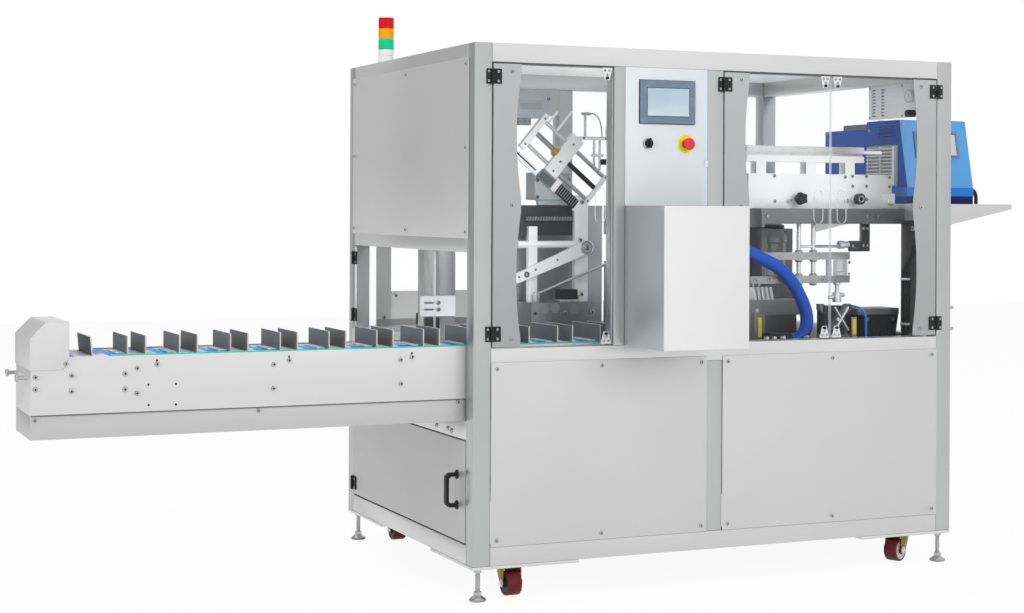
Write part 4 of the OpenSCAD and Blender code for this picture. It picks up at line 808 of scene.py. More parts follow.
@dataclass
class Studio:
    """Camera, lamps, floor and the white surround."""

    place: Place = (-2.6247, -5.7799, 1.2401)
    yaw: float = -23.494
    pitch: float = -0.02
    roll: float = -0.263
    lens: float = 64.23
    sensor: float = 36.0
    lift: float = -0.0953
    dim: float = 0.55
    floor_half: float = 14.0
    floor_glow: float = 0.93

    def build(self) -> None:
        """Set up everything that isn't part of the machine."""
        bpy.context.scene.view_settings.view_transform = "Standard"
        self.camera()
        self.surround()
        self.lamp("key", (1.6, -7.2, 3.0), (0.2, 0.0, 0.95), 4.5, 245.0)
        self.lamp("fill", (-6.2, -2.6, 2.8), (-0.4, 0.2, 0.9), 4.0, 150.0)
        self.lamp("top", (0.3, 0.6, 5.2), (0.3, 0.3, 0.0), 4.0, 90.0)
        for side, x, power in (("left", -0.02, 1.5), ("right", 0.90, 0.25)):
            self.lamp(f"{side}_bay_up", (x, 0.38, 0.80), (x, 0.30, 1.80), 0.7, 4.0)
            self.lamp(f"{side}_bay_front", (x - 0.05, -0.44, 1.26), (x - 0.05, 0.6, 1.20), 0.4, power)
        self.floor()
        self.card("left_card", (-5.2, 4.6, 1.6), UP, 5.0, 0.42)

    def camera(self) -> None:
        """Stand the camera where the photograph was taken from."""
        data = bpy.data.cameras.new("camera")
        data.sensor_width = self.sensor
        data.lens = self.lens
        data.shift_y = self.lift
        data.dof.use_dof = False
        camera = bpy.data.objects.new("camera", data)
        camera.location = self.place
        camera.rotation_euler = [math.radians(a) for a in (90 + self.pitch, self.roll, self.yaw)]
        bpy.context.scene.collection.objects.link(camera)
        bpy.context.scene.camera = camera

    def surround(self) -> None:
        """White where it is seen, and an even dim light elsewhere."""
        world = bpy.data.worlds.new("surround")
        bpy.context.scene.world = world
        world.use_nodes = True
        tree = world.node_tree
        tree.nodes.clear()
        graph = Graph.over(tree)
        strength = graph.seen().span(0.0, 1.0, self.dim, 1.0)
        back = graph.add("ShaderNodeBackground", None, {"Color": WHITE, "Strength": strength})
        graph.end = tree.nodes.new("ShaderNodeOutputWorld")
        graph.end_with(back)

    def lamp(self, name: str, place: Point, target: Point, size: float, power: float) -> None:
        """Hang a soft square lamp that looks at a point."""
        data = bpy.data.lights.new(name, "AREA")
        data.size = size
        data.energy = power
        lamp = bpy.data.objects.new(name, data)
        lamp.location = place
        lamp.rotation_euler = (Vector(target) - Vector(place)).to_track_quat("-Z", "Y").to_euler()
        lamp.visible_camera = False
        lamp.visible_glossy = False
        bpy.context.scene.collection.objects.link(lamp)

    def sheet(self, name: str, half: float, material: bpy.types.Material) -> bpy.types.Object:
        """Make a flat square stage sheet."""
        mesh = bpy.data.meshes.new(name)
        mesh.from_pydata([(-half, -half, 0), (half, -half, 0), (half, half, 0), (-half, half, 0)], [],
                         [(0, 1, 2, 3)])
        mesh.materials.append(material)
        sheet = bpy.data.objects.new(name, mesh)
        bpy.context.scene.collection.objects.link(sheet)
        return sheet

    def floor(self) -> None:
        """Lay a pale floor that shows white and keeps the shadow."""
        graph = Graph("floor_white")
        share = graph.seen().span(0.0, 1.0, 0.0, self.floor_glow)
        glow = graph.add("ShaderNodeEmission", None, {"Color": WHITE})
        pale = graph.add("ShaderNodeBsdfDiffuse", None, {"Color": shade(WHITE, 0.9)})
        graph.end_with(graph.add("ShaderNodeMixShader", None, {0: share, 1: pale, 2: glow}))
        self.sheet("floor", self.floor_half, graph.material)

    def card(self, name: str, place: Point, target: Point, size: float, level: float) -> None:
        """Stand a grey card that only reflections see."""
        graph = Graph(name)
        graph.end_with(graph.add("ShaderNodeEmission", None, {"Color": shade(WHITE, level)}))
        card = self.sheet(name, size, graph.material)
        card.location = place
        card.rotation_euler = (Vector(target) - Vector(place)).to_track_quat("Z", "Y").to_euler()
        card.visible_camera = False
        card.visible_diffuse = False
        card.visible_transmission = False
        card.visible_shadow = False


@dataclass
class AirLines:
    """The blue air hose and the thin air line of the glue station."""

    hose: tuple[Place, ...] = (
        (930, 172, 1032), (950, 172, 1032), (982, 172, 1028), (1031, 172, 1011), (1064, 172, 996),
        (1098, 172, 981), (1144, 172, 960), (1190, 172, 940), (1222, 172, 921), (1254, 172, 895),
        (1284, 172, 860), (1308, 172, 822), (1324, 172, 790), (1333, 172, 760), (1335, 172, 732),
        (1329, 172, 706), (1314, 172, 686), (1294, 172, 675), (1276, 172, 672), (1264, 172, 672))
    hose_r: float = 23.0
    line: tuple[Place, ...] = (
        (1538, 180, 783), (1545, 180, 783), (1552, 180, 781.5), (1558, 180, 779.6), (1564, 180, 776.6),
        (1569, 180, 773.2), (1574, 180, 768.9), (1578, 180, 764.2), (1581.6, 180, 759),
        (1584.4, 180, 753.4), (1586.4, 180, 747.4), (1587.6, 180, 741.3), (1588, 180, 735),
        (1588, 180, 720), (1588, 180, 705), (1588, 180, 690), (1588, 180, 675), (1588, 180, 660),
        (1588, 180, 648))
    line_r: float = 4.0
    sides: int = 24
    steps: int = 4

    def build(self) -> None:
        """Lay both along their routes."""
        self.lay("air_hose_run", self.hose, self.hose_r, HOSE_BLUE, "air_hose")
        self.lay("air_line_run", self.line, self.line_r, LINE_BLUE, "air_line")

    def lay(self, name: str, route: Sequence[Point], radius: float, finish: Finish, node: str) -> None:
        """Sweep one cord along its route."""
        shape = Shape(name, finish).tube(route, radius, self.sides, self.steps)
        line = [ORIGIN + point * MM for point in smooth([Vector(point) for point in route], self.steps)]
        length = sum((b - a).length for a, b in zip(line, line[1:]))
        piece = shape.ride(MACHINE, "hose_blue", node)


@dataclass
class Cabinet:
    """Tube frame, sheet panels, windows, feet and what fixes them."""

    inset: float = 20.0
    sheet_t: float = 3.0
    panel_top: float = 641.0
    bays: tuple[Spot, ...] = ((60, 836), (896, 1760))
    upper_side: Spot = (1032, 1606)
    sill_bolts: tuple[Spot, ...] = ((179, 411), (313, 413), (212, 415))
    foot_pad: float = 27.0
    foot_stud: float = 8.0
    thread_pitch: float = 3.2

    def build(self) -> None:
        """Dress the frame and fix its panels."""
        eased("frame_posts", FRAME_UP_PAINTED_SHADE, MACHINE, "frame_steel", 2.5, (
            # Part of a post inside the right bay is painted near black as shade.
            Zone(POST_PAINTED_SHADE, (1755, 150, 690), (1825, 220, 1090)),))
        # The rails near the floor take a darker copy of the steel as painted shade.
        eased("frame_rails_x", FRAME_X, MACHINE, "frame_steel", 2.0, (Zone(RAIL_LOW_PAINTED_SHADE, high=(FAR, FAR, 100)),))
        eased("frame_rails_y", FRAME_Y, MACHINE, "frame_steel", 2.0)
        eased("corner_plates", FRAME_X, MACHINE, "frame_steel", 1.0)
        eased("roof_panel", ROOF_WHITE, MACHINE, "white_paint", 0.5, (Zone(ROOF_STEEL, way=UP),))
        dress("deck_plate", DECK_STEEL)
        dress("guard_windows", WINDOW)
        self.panels()
        self.screws()
        self.back_fittings()
        self.gap_shade_strips()
        self.feet()

    def panels(self) -> None:
        """Hang the sheet panels, front and back bright and the sides a little darker; the faces that look left or
        right take a lighter copy of the steel as painted light.
        """
        sides = [Zone(SIDE_SHEET_PAINTED_LIGHT, way=(side, 0.0, 0.0)) for side in (-1.0, 1.0)]
        eased("sheet_panels", SHEET, MACHINE, "sheet_steel", 1.0, sides)

    def screws(self) -> None:
        """Fix each panel at its corners and halfway along its long edges."""
        high = corners("frame_posts")[1]
        depth, sheet = high.y, self.sheet_t
        rows = (TUBE + self.inset, self.panel_top - self.inset)
        upper_low, upper_high = self.upper_side
        upper_mid = (upper_low + upper_high) / 2
        shape = Shape("panel_screws", SCREW_STEEL)
        for y, way in ((-sheet, -1), (depth + sheet, 1)):
            for left, right in self.bays:
                for x in (left + self.inset, (left + right) / 2, right - self.inset):
                    for z in rows:
                        shape.screw((x, y, z), (0, way, 0))
        columns = (TUBE + 4, depth / 2, depth - TUBE - 4)
        for y in columns:
            for z in (upper_low + self.inset, upper_mid, upper_high - self.inset):
                if y != depth / 2 or z != upper_mid:
                    shape.screw((-sheet, y, z), LEFT)
        for y in columns:
            for z in rows:
                shape.screw((high.x + sheet, y, z), RIGHT)
        for y, z in self.sill_bolts:
            shape.screw((0.0, y, z), LEFT, Head.BOLT)
        shape.ride(MACHINE, "bare_steel")

    def back_fittings(self) -> None:
        """Add the stile and the sheets of the back, and two pipe stubs on the right side."""
        shape = Shape("back_stile", FRAME_UP_PAINTED_SHADE, TRAY_STEEL)
        shape.use(FRAME_UP_PAINTED_SHADE).block((84, 1156, 686), (140, 1168, 1588), 1.0)
        shape.row(1156, [(112, z) for z in (720, 1140, 1550)], Head.BOLT)
        shape.use(TRAY_STEEL).block((140, 1160, 686), (832, 1164, 816), 1.0)
        shape.row(1160, [(x, 800) for x in (160, 486, 812)])
        shape.use(BLACK).bar((74, 700, 686), (74, 700, 760), 4.5)
        shape.use(FRAME_UP_PAINTED_SHADE).block((640, 1166, 1488), (836, 1172, 1590), 1.0)
        shape.screw((790, 1166, 1555), FRONT, Head.BOLT)
        for finish, low, high in ((BACK_STEEL, (728, 545, 1037), (800, 556, 1140)),
                                  (BACK_STEEL, (728, 545, DECK_Z), (800, 556, 802)),
                                  (WALL_STEEL, (1240, 548, DECK_Z), (1463, 552, 1085)),
                                  (WALL_STEEL, (1463, 548, DECK_Z), (1530, 552, 885))):
            shape.use(finish).block(low, high)
        for z in (708.0, 782.0):
            shape.use(STUD_STEEL).bar((1820, 30, z), (1852, 30, z), 6.5)
        shape.ride(MACHINE, "sheet_steel")

    def gap_shade_strips(self) -> None:
        """Put dark strips behind the gaps round the front doors: painted shade for the shadow in those gaps."""
        shape = Shape("gap_shade_strips", LID_GREY)
        for left, right in ((60, 84), (486, 490), (896, 920)):
            shape.block((left, 14, DOOR_LOW), (right, 17, DOOR_HIGH), 0.5)
        for left, right in ((60, 490), (896, 1760)):
            shape.block((left, 14, DOOR_HIGH - 2), (right, 17, DOOR_HIGH + 5), 0.5)
        shape.ride(MACHINE, "dark_steel")

    def feet(self) -> None:
        """Stand the frame on four threaded feet with rubber pads."""
        floor = corners("levelling_feet")[0].z
        shape = Shape("levelling_feet_dressed", STUD_STEEL, FOOT_GREY)
        pad, stud = self.foot_pad, self.foot_stud
        for x in (30.0, 1790.0):
            for y in (30.0, 1200.0):
                foot = (x, y, floor)
                shape.use(FOOT_GREY).lathe(foot, UP, [(pad - 2, 0), (pad, 2), (pad, 6), (pad - 1, 7.5)], 32)
                cone = [(pad - 1, 7.5), (pad - 2, 9), (15, 16), (12, 18), (12, 20)]
                shape.use(STUD_STEEL).lathe(foot, UP, cone, 32)
                thread = [(stud, 20.0)]
                for turn in range(24):
                    rise = self.thread_pitch * turn
                    thread += [(stud, 21 + rise), (stud - 1.0, 22.6 + rise)]
                shape.lathe(foot, UP, thread + [(stud, 101.5)], 20)
                for z in (20.0, 90.0):
                    shape.lathe((x, y, floor + z), UP, [(13, 0), (14, 1.2), (14, 8.8), (13, 10)], 6)
        shape.ride(MACHINE, "bare_steel", "levelling_feet")


@dataclass
class Hinge:
    """One black two-leaf hinge, told by its pin, the way to its tube and the way out."""

    pin: Place
    tube_way: Place
    out: Place
    height: float = 48.0
    leaf: float = 4.5
    lift: float = 6.5
    fixed_w: float = 21.0
    door_w: float = 31.0
    clear: float = 7.0
    knuckle: float = 6.0
    gap: float = 0.5
    screw_in: float = 9.0

    def pose(self) -> Matrix:
        """Give the turn from the hinge's own frame: tube along X, out along Y."""
        across, out = Vector(self.tube_way), Vector(self.out)
        turn = Matrix((across, out, Vector(UP))).transposed().to_4x4()
        return Matrix.Translation(Vector(self.pin)) @ turn

    def leaf_on(self, shape: Shape, side: int, width: float, knuckles: Iterable[Spot]) -> None:
        """Add one leaf with its knuckles and screws.

        Args:
            shape: Shape that takes it in.
            side: 1 towards the tube, -1 towards the door.
            width: Reach of the leaf from the pin.
            knuckles: Lower and upper end of each knuckle.
        """
        shape.pose = self.pose()
        half, back, face = self.height / 2, -self.lift, self.leaf - self.lift
        shape.use(BLACK).block((side * self.clear, back, -half), (side * width, face, half), 1.2)
        for low, high in knuckles:
            shape.block((0, back, low), (side * (self.clear + self.gap), face, high), 0.6)
            shape.bar((0, 0, low), (0, 0, high), self.knuckle, 0.8, 20)
        for z in (self.screw_in - half, half - self.screw_in):
            shape.screw((side * (self.clear + width) / 2, face, z), (0, 1, 0), Head.HINGE)
        shape.pose = Matrix.Identity(4)

    def fixed(self, shape: Shape) -> None:
        """Add the leaf on the tube with two knuckles."""
        half, third = self.height / 2, self.height / 6 + self.gap
        self.leaf_on(shape, 1, self.fixed_w, ((-half, -third), (third, half)))

    def moving(self, shape: Shape) -> None:
        """Add the leaf on the door with the middle knuckle."""
        third = self.height / 6
        self.leaf_on(shape, -1, self.door_w, ((-third, third),))


@dataclass
class GlazedDoor:
    """A clear front door on a scalloped steel strip."""

    body: str
    hinge_x: float
    free_x: float
    tube_way: float
    low: float = DOOR_LOW
    high: float = DOOR_HIGH
    strip_w: float = 96.0
    scallop: float = 16.0
    strip_t: float = 2.0
    screw_x: float = 64.0
    catch_x: float = 22.0
    catch_y: float = -0.9

    def hinges(self) -> list[Hinge]:
        """Give the two hinges of this door."""
        x = self.hinge_x - 4 * self.away
        heights = (self.low + HINGE_IN, self.high - HINGE_IN)
        return [Hinge((x, -Hinge.lift, z), (self.tube_way, 0, 0), FRONT) for z in heights]

    @property
    def away(self) -> float:
        """Give the sign of the way from the hinge to the free edge."""
        return 1.0 if self.free_x > self.hinge_x else -1.0

    def build(self) -> None:
        """Dress the pane, and make the strip, its hinges, screws and catches."""
        dress(f"{self.body}_pane", PANE_Y)
        self.strip()
        leaves = Shape(f"{self.body}_hinge_leaves", BLACK)
        for hinge in self.hinges():
            hinge.moving(leaves)
        leaves.ride(self.body, "black_plastic")
        self.catches()

    def strip(self) -> None:
        """Cut the strip with its two shallow scallops and screw it on."""
        height = self.high - self.low
        chord = height / 2 - self.strip_w / 2
        edge = []
        for centre in (self.low + height / 4, self.low + 3 * height / 4):
            for k in range(13):
                t = -1 + k / 6
                edge.append((self.strip_w - self.scallop * (1 - t * t), centre + t * chord / 2))
        outline = [(0.0, self.low), (self.strip_w, self.low), *edge, (self.strip_w, self.high), (0.0, self.high)]
        shape = Shape(f"{self.body}_strip_plate", STRIP_STEEL)
        shape.prism([(self.hinge_x + self.away * u, z) for u, z in outline], Axis.Y, 0.0, self.strip_t, 0.5)
        x = self.hinge_x + self.away * self.screw_x
        shape.row(0.0, [(x, z) for z in (self.low + 22, (self.low + self.high) / 2, self.high - 24)])
        shape.ride(self.body, "sheet_steel", f"{self.body}_strip")

    def catches(self) -> None:
        """Put a small catch plate with its magnet at both free corners."""
        shape = Shape(f"{self.body}_catches", BRIGHT_STEEL)
        x, y = self.free_x - self.away * self.catch_x, self.catch_y
        for z, up in ((self.low + 1, 1.0), (self.high - 1, -1.0)):
            outline = [(x - 19, z), (x + 19, z), (x + 9, z + up * 40), (x - 9, z + up * 40)]
            shape.use(BRIGHT_STEEL).prism(outline, Axis.Y, y, 1.9, 0.5)
            shape.row(y, [(x + dx, z + up * dz) for dx, dz in ((-8, 9), (8, 9), (0, 22))], Head.SMALL)
            shape.use(RUBBER).bar((x, y, z + up * 33), (x, -7.0, z + up * 33), 5.0, 1.0, 16)
        shape.ride(self.body, "bare_steel")


@dataclass
class SideDoors:
    """The folded lower door with its handle, and the clear guard over the infeed."""

    hinge_y: float = 1169.0
    front: float = 65.0
    back: float = 1165.0
    low: float = 65.0
    high: float = 388.0
    guard_high: float = 983.0
    sheet_t: float = 3.0
    fold: float = 22.0

    def hinges(self, body: str) -> list[Hinge]:
        """Give the two hinges of a door on the left side."""
        low, high = (self.low, self.high) if body == "side_door" else (DOOR_LOW, self.guard_high)
        heights = (low + HINGE_IN, high - HINGE_IN)
        return [Hinge((-Hinge.lift, self.hinge_y, z), (0, 1, 0), LEFT) for z in heights]

    def build(self) -> None:
        """Dress the door and the guard."""
        front, back, low, high, t = self.front, self.back, self.low, self.high, self.sheet_t
        # The side door's skin is steel painted darker as shade.
        shape = Shape("side_door_skin", DOOR_SHEET_PAINTED_SHADE)
        shape.block((0, front, low), (t, back, high), 1.0)
        for y0, z0, y1, z1 in ((front, low, front + t, high), (back - t, low, back, high),
                               (front + t, low, back - t, low + t), (front + t, high - t, back - t, high)):
            shape.block((t, y0, z0), (self.fold, y1, z1), 0.8)
        shape.ride("side_door", "sheet_steel", "side_door_panel")
        eased("side_door_handle", BLACK, "side_door", "black_plastic", 3.0)
        grip_low, grip_high = corners("side_door_handle")
        bosses = Shape("side_door_grip_bosses", BLACK)
        y = (grip_low.y + grip_high.y) / 2
        for z in (grip_low.z + 6, grip_high.z - 6):
            bosses.lathe((0, y, z), LEFT, [(15, 0), (15, 2), (12, 4.5)], 24)
        bosses.ride("side_door", "black_plastic")
        dress("side_guard_pane", PANE_X)
        for body, nodes in (("side_door", ()), ("side_guard", ("side_guard_hinges",))):
            leaves = Shape(f"{body}_hinge_leaves", BLACK)
            for hinge in self.hinges(body):
                hinge.moving(leaves)
            leaves.ride(body, "black_plastic", *nodes)


@dataclass
class OperatorPanel:
    """White switch cabinet with its touch screen, selector and stop switch."""

    bezel_w: float = 27.0
    rim: float = 2.0

    def build(self) -> None:
        """Dress the housing and build what is mounted on it."""
        eased("operator_housing", PANEL_PAINT, MACHINE, "white_paint", 2.0)
        self.screen()
        self.switches()

    def screen(self) -> None:
        """Frame the screen with a dark bezel and a raised inner rim."""
        low, high = corners("operator_screen")
        shape = Shape("operator_screen_dressed", BEZEL, BLACK, SCREEN)
        shape.use(BLACK).block((low.x, -3, low.z), (high.x, 0.0, high.z), 0.8)
        shape.use(BEZEL).block((low.x + 1.5, -9, low.z + 1.5), (high.x - 1.5, -3, high.z - 1.5), 2.5)
        for finish, side, y0, y1, ease in ((BLACK, self.bezel_w - self.rim, -9.6, -8.8, 0.3),
                                           (SCREEN, self.bezel_w, -10, -9.5, 0.2)):
            shape.use(finish).block((low.x + side, y0, low.z + side), (high.x - side, y1, high.z - side), ease)
        shape.ride(MACHINE, "black_plastic", "operator_screen")
        latch = Shape("operator_latch", BRIGHT_STEEL)
        latch.block((825, -3.5, 1268), (836, 0, 1290), 1.2)
        latch.ride(MACHINE, "chrome_trim")

    def switches(self) -> None:
        """Turn the collars, the selector and the stop switch."""
        turn, stop = self.middle("selector_knob"), self.middle("stop_button")
        collars = Shape("switch_collars_dressed", STUD_STEEL, YELLOW)
        collars.use(STUD_STEEL).lathe(turn, FRONT, [(18, 0), (18.5, 1), (18, 4), (15, 7.5), (9, 8)], 32)
        collars.use(YELLOW).lathe(stop, FRONT, [(30, 0), (30, 1.5), (29, 2.5), (15, 2.6), (15, 0.3)], 48)
        collars.use(BLACK).lathe(stop, FRONT, [(15, 0.2), (15, 6), (13, 8), (8.7, 8), (8.7, 0.4)], 32)
        collars.ride(MACHINE, "chrome_trim", "switch_collars")
        knob = Shape("selector_knob_dressed", BLACK)
        knob.lathe(turn, FRONT, [(8, 1), (8, 8.5), (13, 8.5), (14, 10), (13.5, 15), (12, 16)], 32)
        knob.pose = Matrix.Translation(turn)
        knob.prism([(-5, -15), (5, -15), (3, 16), (0, 18), (-3, 16)], Axis.Y, -24, -14, 1.5)
        knob.ride("selector", "black_plastic", "selector_knob")
        button = Shape("stop_button_dressed", RED_PLASTIC)
        button.lathe(stop, FRONT, [(8, 5), (8, 17), (17, 17), (19.5, 18.5), (20, 21), (20, 26), (18.5, 28.6),
                                   (15, 30), (8, 30.8), (0, 31)], 48)
        button.ride("stop_switch", "red_plastic", "stop_button")

    def middle(self, node: str) -> Vector:
        """Give the middle of a switch on the panel's face."""
        low, high = corners(node)
        return Vector(((low.x + high.x) / 2, 0, (low.z + high.z) / 2))


@dataclass
class FrontBox:
    """Steel box that stands out under the operator panel, with a plain white cover."""

    def build(self) -> None:
        """Dress the box and its cover."""
        eased("front_box", BOX_STEEL, MACHINE, "sheet_steel", 2.0)
        eased("front_box_cover", BOX_WHITE, MACHINE, "white_paint", 1.5)


@dataclass
class SignalTower:
    """Three lenses on a white foot."""

    def build(self) -> None:
        """Dress the lenses and turn the foot and cap."""
        low, high = corners("signal_foot")
        x, y = (low.x + high.x) / 2, (low.y + high.y) / 2
        r = (high.x - low.x) / 2
        shape = Shape("signal_foot_dressed", PLATE_WHITE)
        foot = [(r - 1, 0), (r, 1), (r, 20), (r - 2, 22), (r - 2, 24), (r, 26), (r, 45), (r - 1, 46)]
        shape.lathe((x, y, low.z), UP, foot, 40)
        shape.lathe((x, y, high.z - 8), UP, [(r - 1, 0), (r, 1), (r, 4), (r - 4, 8)], 40)
        shape.ride(MACHINE, "white_paint", "signal_foot")
        for node, finish in (("signal_green", GREEN_LENS), ("signal_amber", AMBER_LENS), ("signal_red", RED_LENS)):
            dress(node, finish)


@dataclass
class Caster:
    """One swivel caster: zinc fork and maroon wheel."""

    corner: str
    turn: float
    wheel_r: float = 40.0
    tread: float = 24.0
    hub: float = 27.0
    # Reach of the black block under the fork's top plate, which is painted shadow.
    painted_shadow: float = 6.0
    # Finish of the wheel's side rings; a bright one is a painted highlight.
    rim: Finish = HUB

    def build(self) -> None:
        """Dress the fork, turn the wheel and bolt its axle."""
        body, fork = f"caster_{self.corner}", f"caster_fork_{self.corner}"
        eased(fork, GOLD_ZINC, body, "gold_zinc", 1.0)
        low, high = corners(f"caster_wheel_{self.corner}")
        centre = (low + high) / 2
        turn = math.radians(self.turn)
        axle = Vector((-math.sin(turn), math.cos(turn), 0))
        self.wheel(centre, axle)
        # A black block between the fork legs above the wheel: painted shadow under the fork's top plate.
        painted_shadow = Shape(f"caster_shield_{self.corner}", BLACK)
        painted_shadow.pose = Matrix.Translation(centre) @ Matrix.Rotation(turn, 4, "Z")
        top = corners(fork)[1].z - centre.z - 7
        painted_shadow.block((-22, 2 - self.hub, self.wheel_r + 3), (self.painted_shadow, self.hub - 2, top), 1.5)
        painted_shadow.ride(body, "gold_zinc")
        bolts = Shape(f"caster_axle_{self.corner}", BRIGHT_STEEL)
        for way in (-1, 1):
            side = centre + axle * way * (self.hub + 5.2)
            bolts.lathe(side, axle * way, [(12, 0), (12, 1.6), (9.5, 1.8)], 24)
            bolts.lathe(side, axle * way, [(9, 1.4), (9.4, 2.4), (9.4, 6), (8, 7.4)], 6)
        bolts.ride(body, "gold_zinc")

    def wheel(self, centre: Vector, axle: Vector) -> None:
        """Turn the crowned tread, the dished web and the hub."""
        r, half = self.wheel_r, self.tread
        shape = Shape(f"caster_wheel_{self.corner}_dressed", TREAD, HUB)
        tread = [(r - 8, -half + 1), (r - 3, -half), (r - 1, -half + 1.5), (r, -half + 5), (r, half - 5),
                 (r - 1, half - 1.5), (r - 3, half), (r - 8, half - 1)]
        shape.use(TREAD).lathe(centre, axle, tread, 56)
        web = [(r - 6, half - 0.6), (r - 9, half - 0.2), (r - 11, half - 6), (16, half - 8), (15, half - 2),
               (14, self.hub - 1), (12, self.hub)]
        ring = [(r - 7.6, half - 0.5), (r - 8.6, half + 0.1), (r - 10, half - 0.3), (r - 13, half - 5),
                (17, half - 6)]
        for way in (-1, 1):
            shape.use(HUB).lathe(centre, axle * way, web, 44)
            shape.use(self.rim).lathe(centre, axle * way, ring, 44)
        shape.ride(f"wheel_{self.corner}", "maroon_tread", f"caster_wheel_{self.corner}")


@dataclass
class InfeedConveyor:
    """Side plates, slat chain, paddles, wear strips and end cover of the infeed."""

    slat_pitch: float = 25.4
    pair_pitch: float = 155.6
    pair_start: float = -1065.0
    pair_gap: float = 54.0
    last_x: float = -1168.0
    lean: float = 5.5
    paddle_t: float = 4.0
    cut_edge: float = 1.3
    slat_t: float = 9.0
    lane_ends: tuple[float, ...] = (0.0, 0.36, 0.68, 1.0)
    plate_y: Spot = (66.0, 345.0)
    bolt_places: tuple[Spot, ...] = (
        (-1249, 672), (-1232, 637), (-1232, 591), (-1077, 638), (-1042, 653), (-1077, 592),
        (-1042, 579), (-983, 663), (-1335, 600), (-1335, 635), (-627, 652), (-579, 663),
        (-628, 579), (-219, 654), (-181, 662), (-218, 579))
    hole_places: tuple[Spot, ...] = (
        (-983, 674), (-579, 674), (-181, 674), (-1008, 603), (-926, 603), (-1007, 543),
        (-926, 542))
    tray_places: tuple[Spot, ...] = ((-1335, 510), (-672, 513), (-24, 514))

    def build(self) -> None:
        """Dress the plates and lay the slats."""
        eased("conveyor_frame", CONVEYOR_STEEL, MACHINE, "bare_steel", 1.2, (
            Zone(STUD_STEEL, high=(-1349, FAR, FAR)),))
        eased("conveyor_tray", TRAY_STEEL, MACHINE, "sheet_steel", 1.2)
        eased("conveyor_end_cover", CONVEYOR_STEEL, MACHINE, "sheet_steel", 0.8)
        eased("wear_strip", WEAR_GREEN, MACHINE, "wear_green", 1.2, (Zone(TRAY_STEEL, low=(-FAR, 200, -FAR)),))
        self.slats()
        self.paddles()
        self.bolts()

    def slats(self) -> None:
        """Lay the slats round the loop in three staggered lanes of grey and blue."""
        low, high = corners("slat_chain")
        radius = (high.z - low.z) / 2
        thick = self.slat_t
        left, right, mid_z = low.x + radius, high.x - radius, (low.z + high.z) / 2
        straight, bend = right - left, math.pi * (radius - thick / 2)
        loop = 2 * (straight + bend)
        count = round(loop / self.slat_pitch)
        pitch = loop / count
        edges = [low.y + (high.y - low.y) * share for share in self.lane_ends]
        lanes = list(zip(edges, edges[1:]))
        shape = Shape("slat_chain_dressed", SLAT_GREY, SLAT_BLUE, SLAT_PALE)
        for k in range(count):
            for lane, (near, far) in enumerate(lanes):
                run = (k * pitch + lane * pitch / 2) % loop
                shape.pose = self.on_loop(run, left, right, mid_z, radius - thick / 2, straight, bend)
                shape.use(self.colour(left + run, lane) if run < straight else SLAT_GREY)
                half = pitch / 2 - 0.5
                shape.block((-half, near + 0.4, -thick / 2), (half, far - 0.4, thick / 2), 1.2)
        shape.ride(MACHINE, "slat_plastic", "slat_chain")

    def colour(self, x: float, lane: int) -> Finish:
        """Give the colour of a slat of the top run."""
        phase = (x - self.pair_start - self.pair_gap) % self.pair_pitch
        bands = ((40.0, 104.0, SLAT_BLUE), (20.0, 76.0, SLAT_PALE), (0.0, 60.0, SLAT_PALE))
        first, last, finish = bands[lane]
        return finish if first < phase < last else SLAT_GREY

    def on_loop(self, run: float, left: float, right: float, mid_z: float, radius: float, straight: float,
                bend: float) -> Matrix:
        """Give the place and turn of a slat at a distance round the loop."""
        if run < straight:
            return Matrix.Translation(Vector((left + run, 0, mid_z + radius)))
        run -= straight
        if run < bend:
            turn = Matrix.Rotation(math.pi * run / bend, 4, "Y")
            return Matrix.Translation(Vector((right, 0, mid_z))) @ turn @ Matrix.Translation(Vector((0, 0, radius)))
        run -= bend
        if run < straight:
            return Matrix.Translation(Vector((right - run, 0, mid_z - radius)))
        run -= straight
        turn = Matrix.Rotation(math.pi * (1 + run / bend), 4, "Y")
        return Matrix.Translation(Vector((left, 0, mid_z))) @ turn @ Matrix.Translation(Vector((0, 0, radius)))

    def paddles(self) -> None:
        """Bend the paddles in pairs, with pale cut edges."""
        low, high = corners("chain_paddles")
        near, far, tall = low.y, high.y, high.z - low.z
        sixth = (far - near) / 6
        shape = Shape("chain_paddles_dressed", PADDLE, PADDLE_EDGE)
        pairs = int((high.x - self.pair_start - self.pair_gap) // self.pair_pitch) + 1
        for pair in range(pairs):
            x = self.pair_start + pair * self.pair_pitch
            for place, foot in ((x, (-26, 0)), (x + self.pair_gap, (4, 30))):
                shape.pose = Matrix.Translation(Vector((place, 0, low.z)))
                self.paddle(shape, near, far, tall)
                shape.use(SLAT_GREY).block((foot[0], near + sixth, 0), (foot[1], far - sixth, 3.6), 0.8)
        lean = Matrix.Rotation(math.radians(-self.lean), 4, "Y")
        shape.pose = Matrix.Translation(Vector((self.last_x, 0, low.z))) @ lean
        self.paddle(shape, near, far, tall)
        shape.ride(MACHINE, "paddle_grey", "chain_paddles")

    def paddle(self, shape: Shape, near: float, far: float, tall: float) -> None:
        """Add one plate with its cut edges, in the pose in use."""
        t, rim = self.paddle_t, self.cut_edge
        shape.use(PADDLE).block((0.4, near + 1.2, 0), (t - 0.4, far - 1.2, tall - 1.2), 0.4)
        for low, high in (((0, near, 0), (t, near + rim, tall)), ((0, far - rim, 0), (t, far, tall)),
                          ((0, near + rim, tall - rim), (t, far - rim, tall))):
            shape.use(PADDLE_EDGE).block(low, high, 0.4)

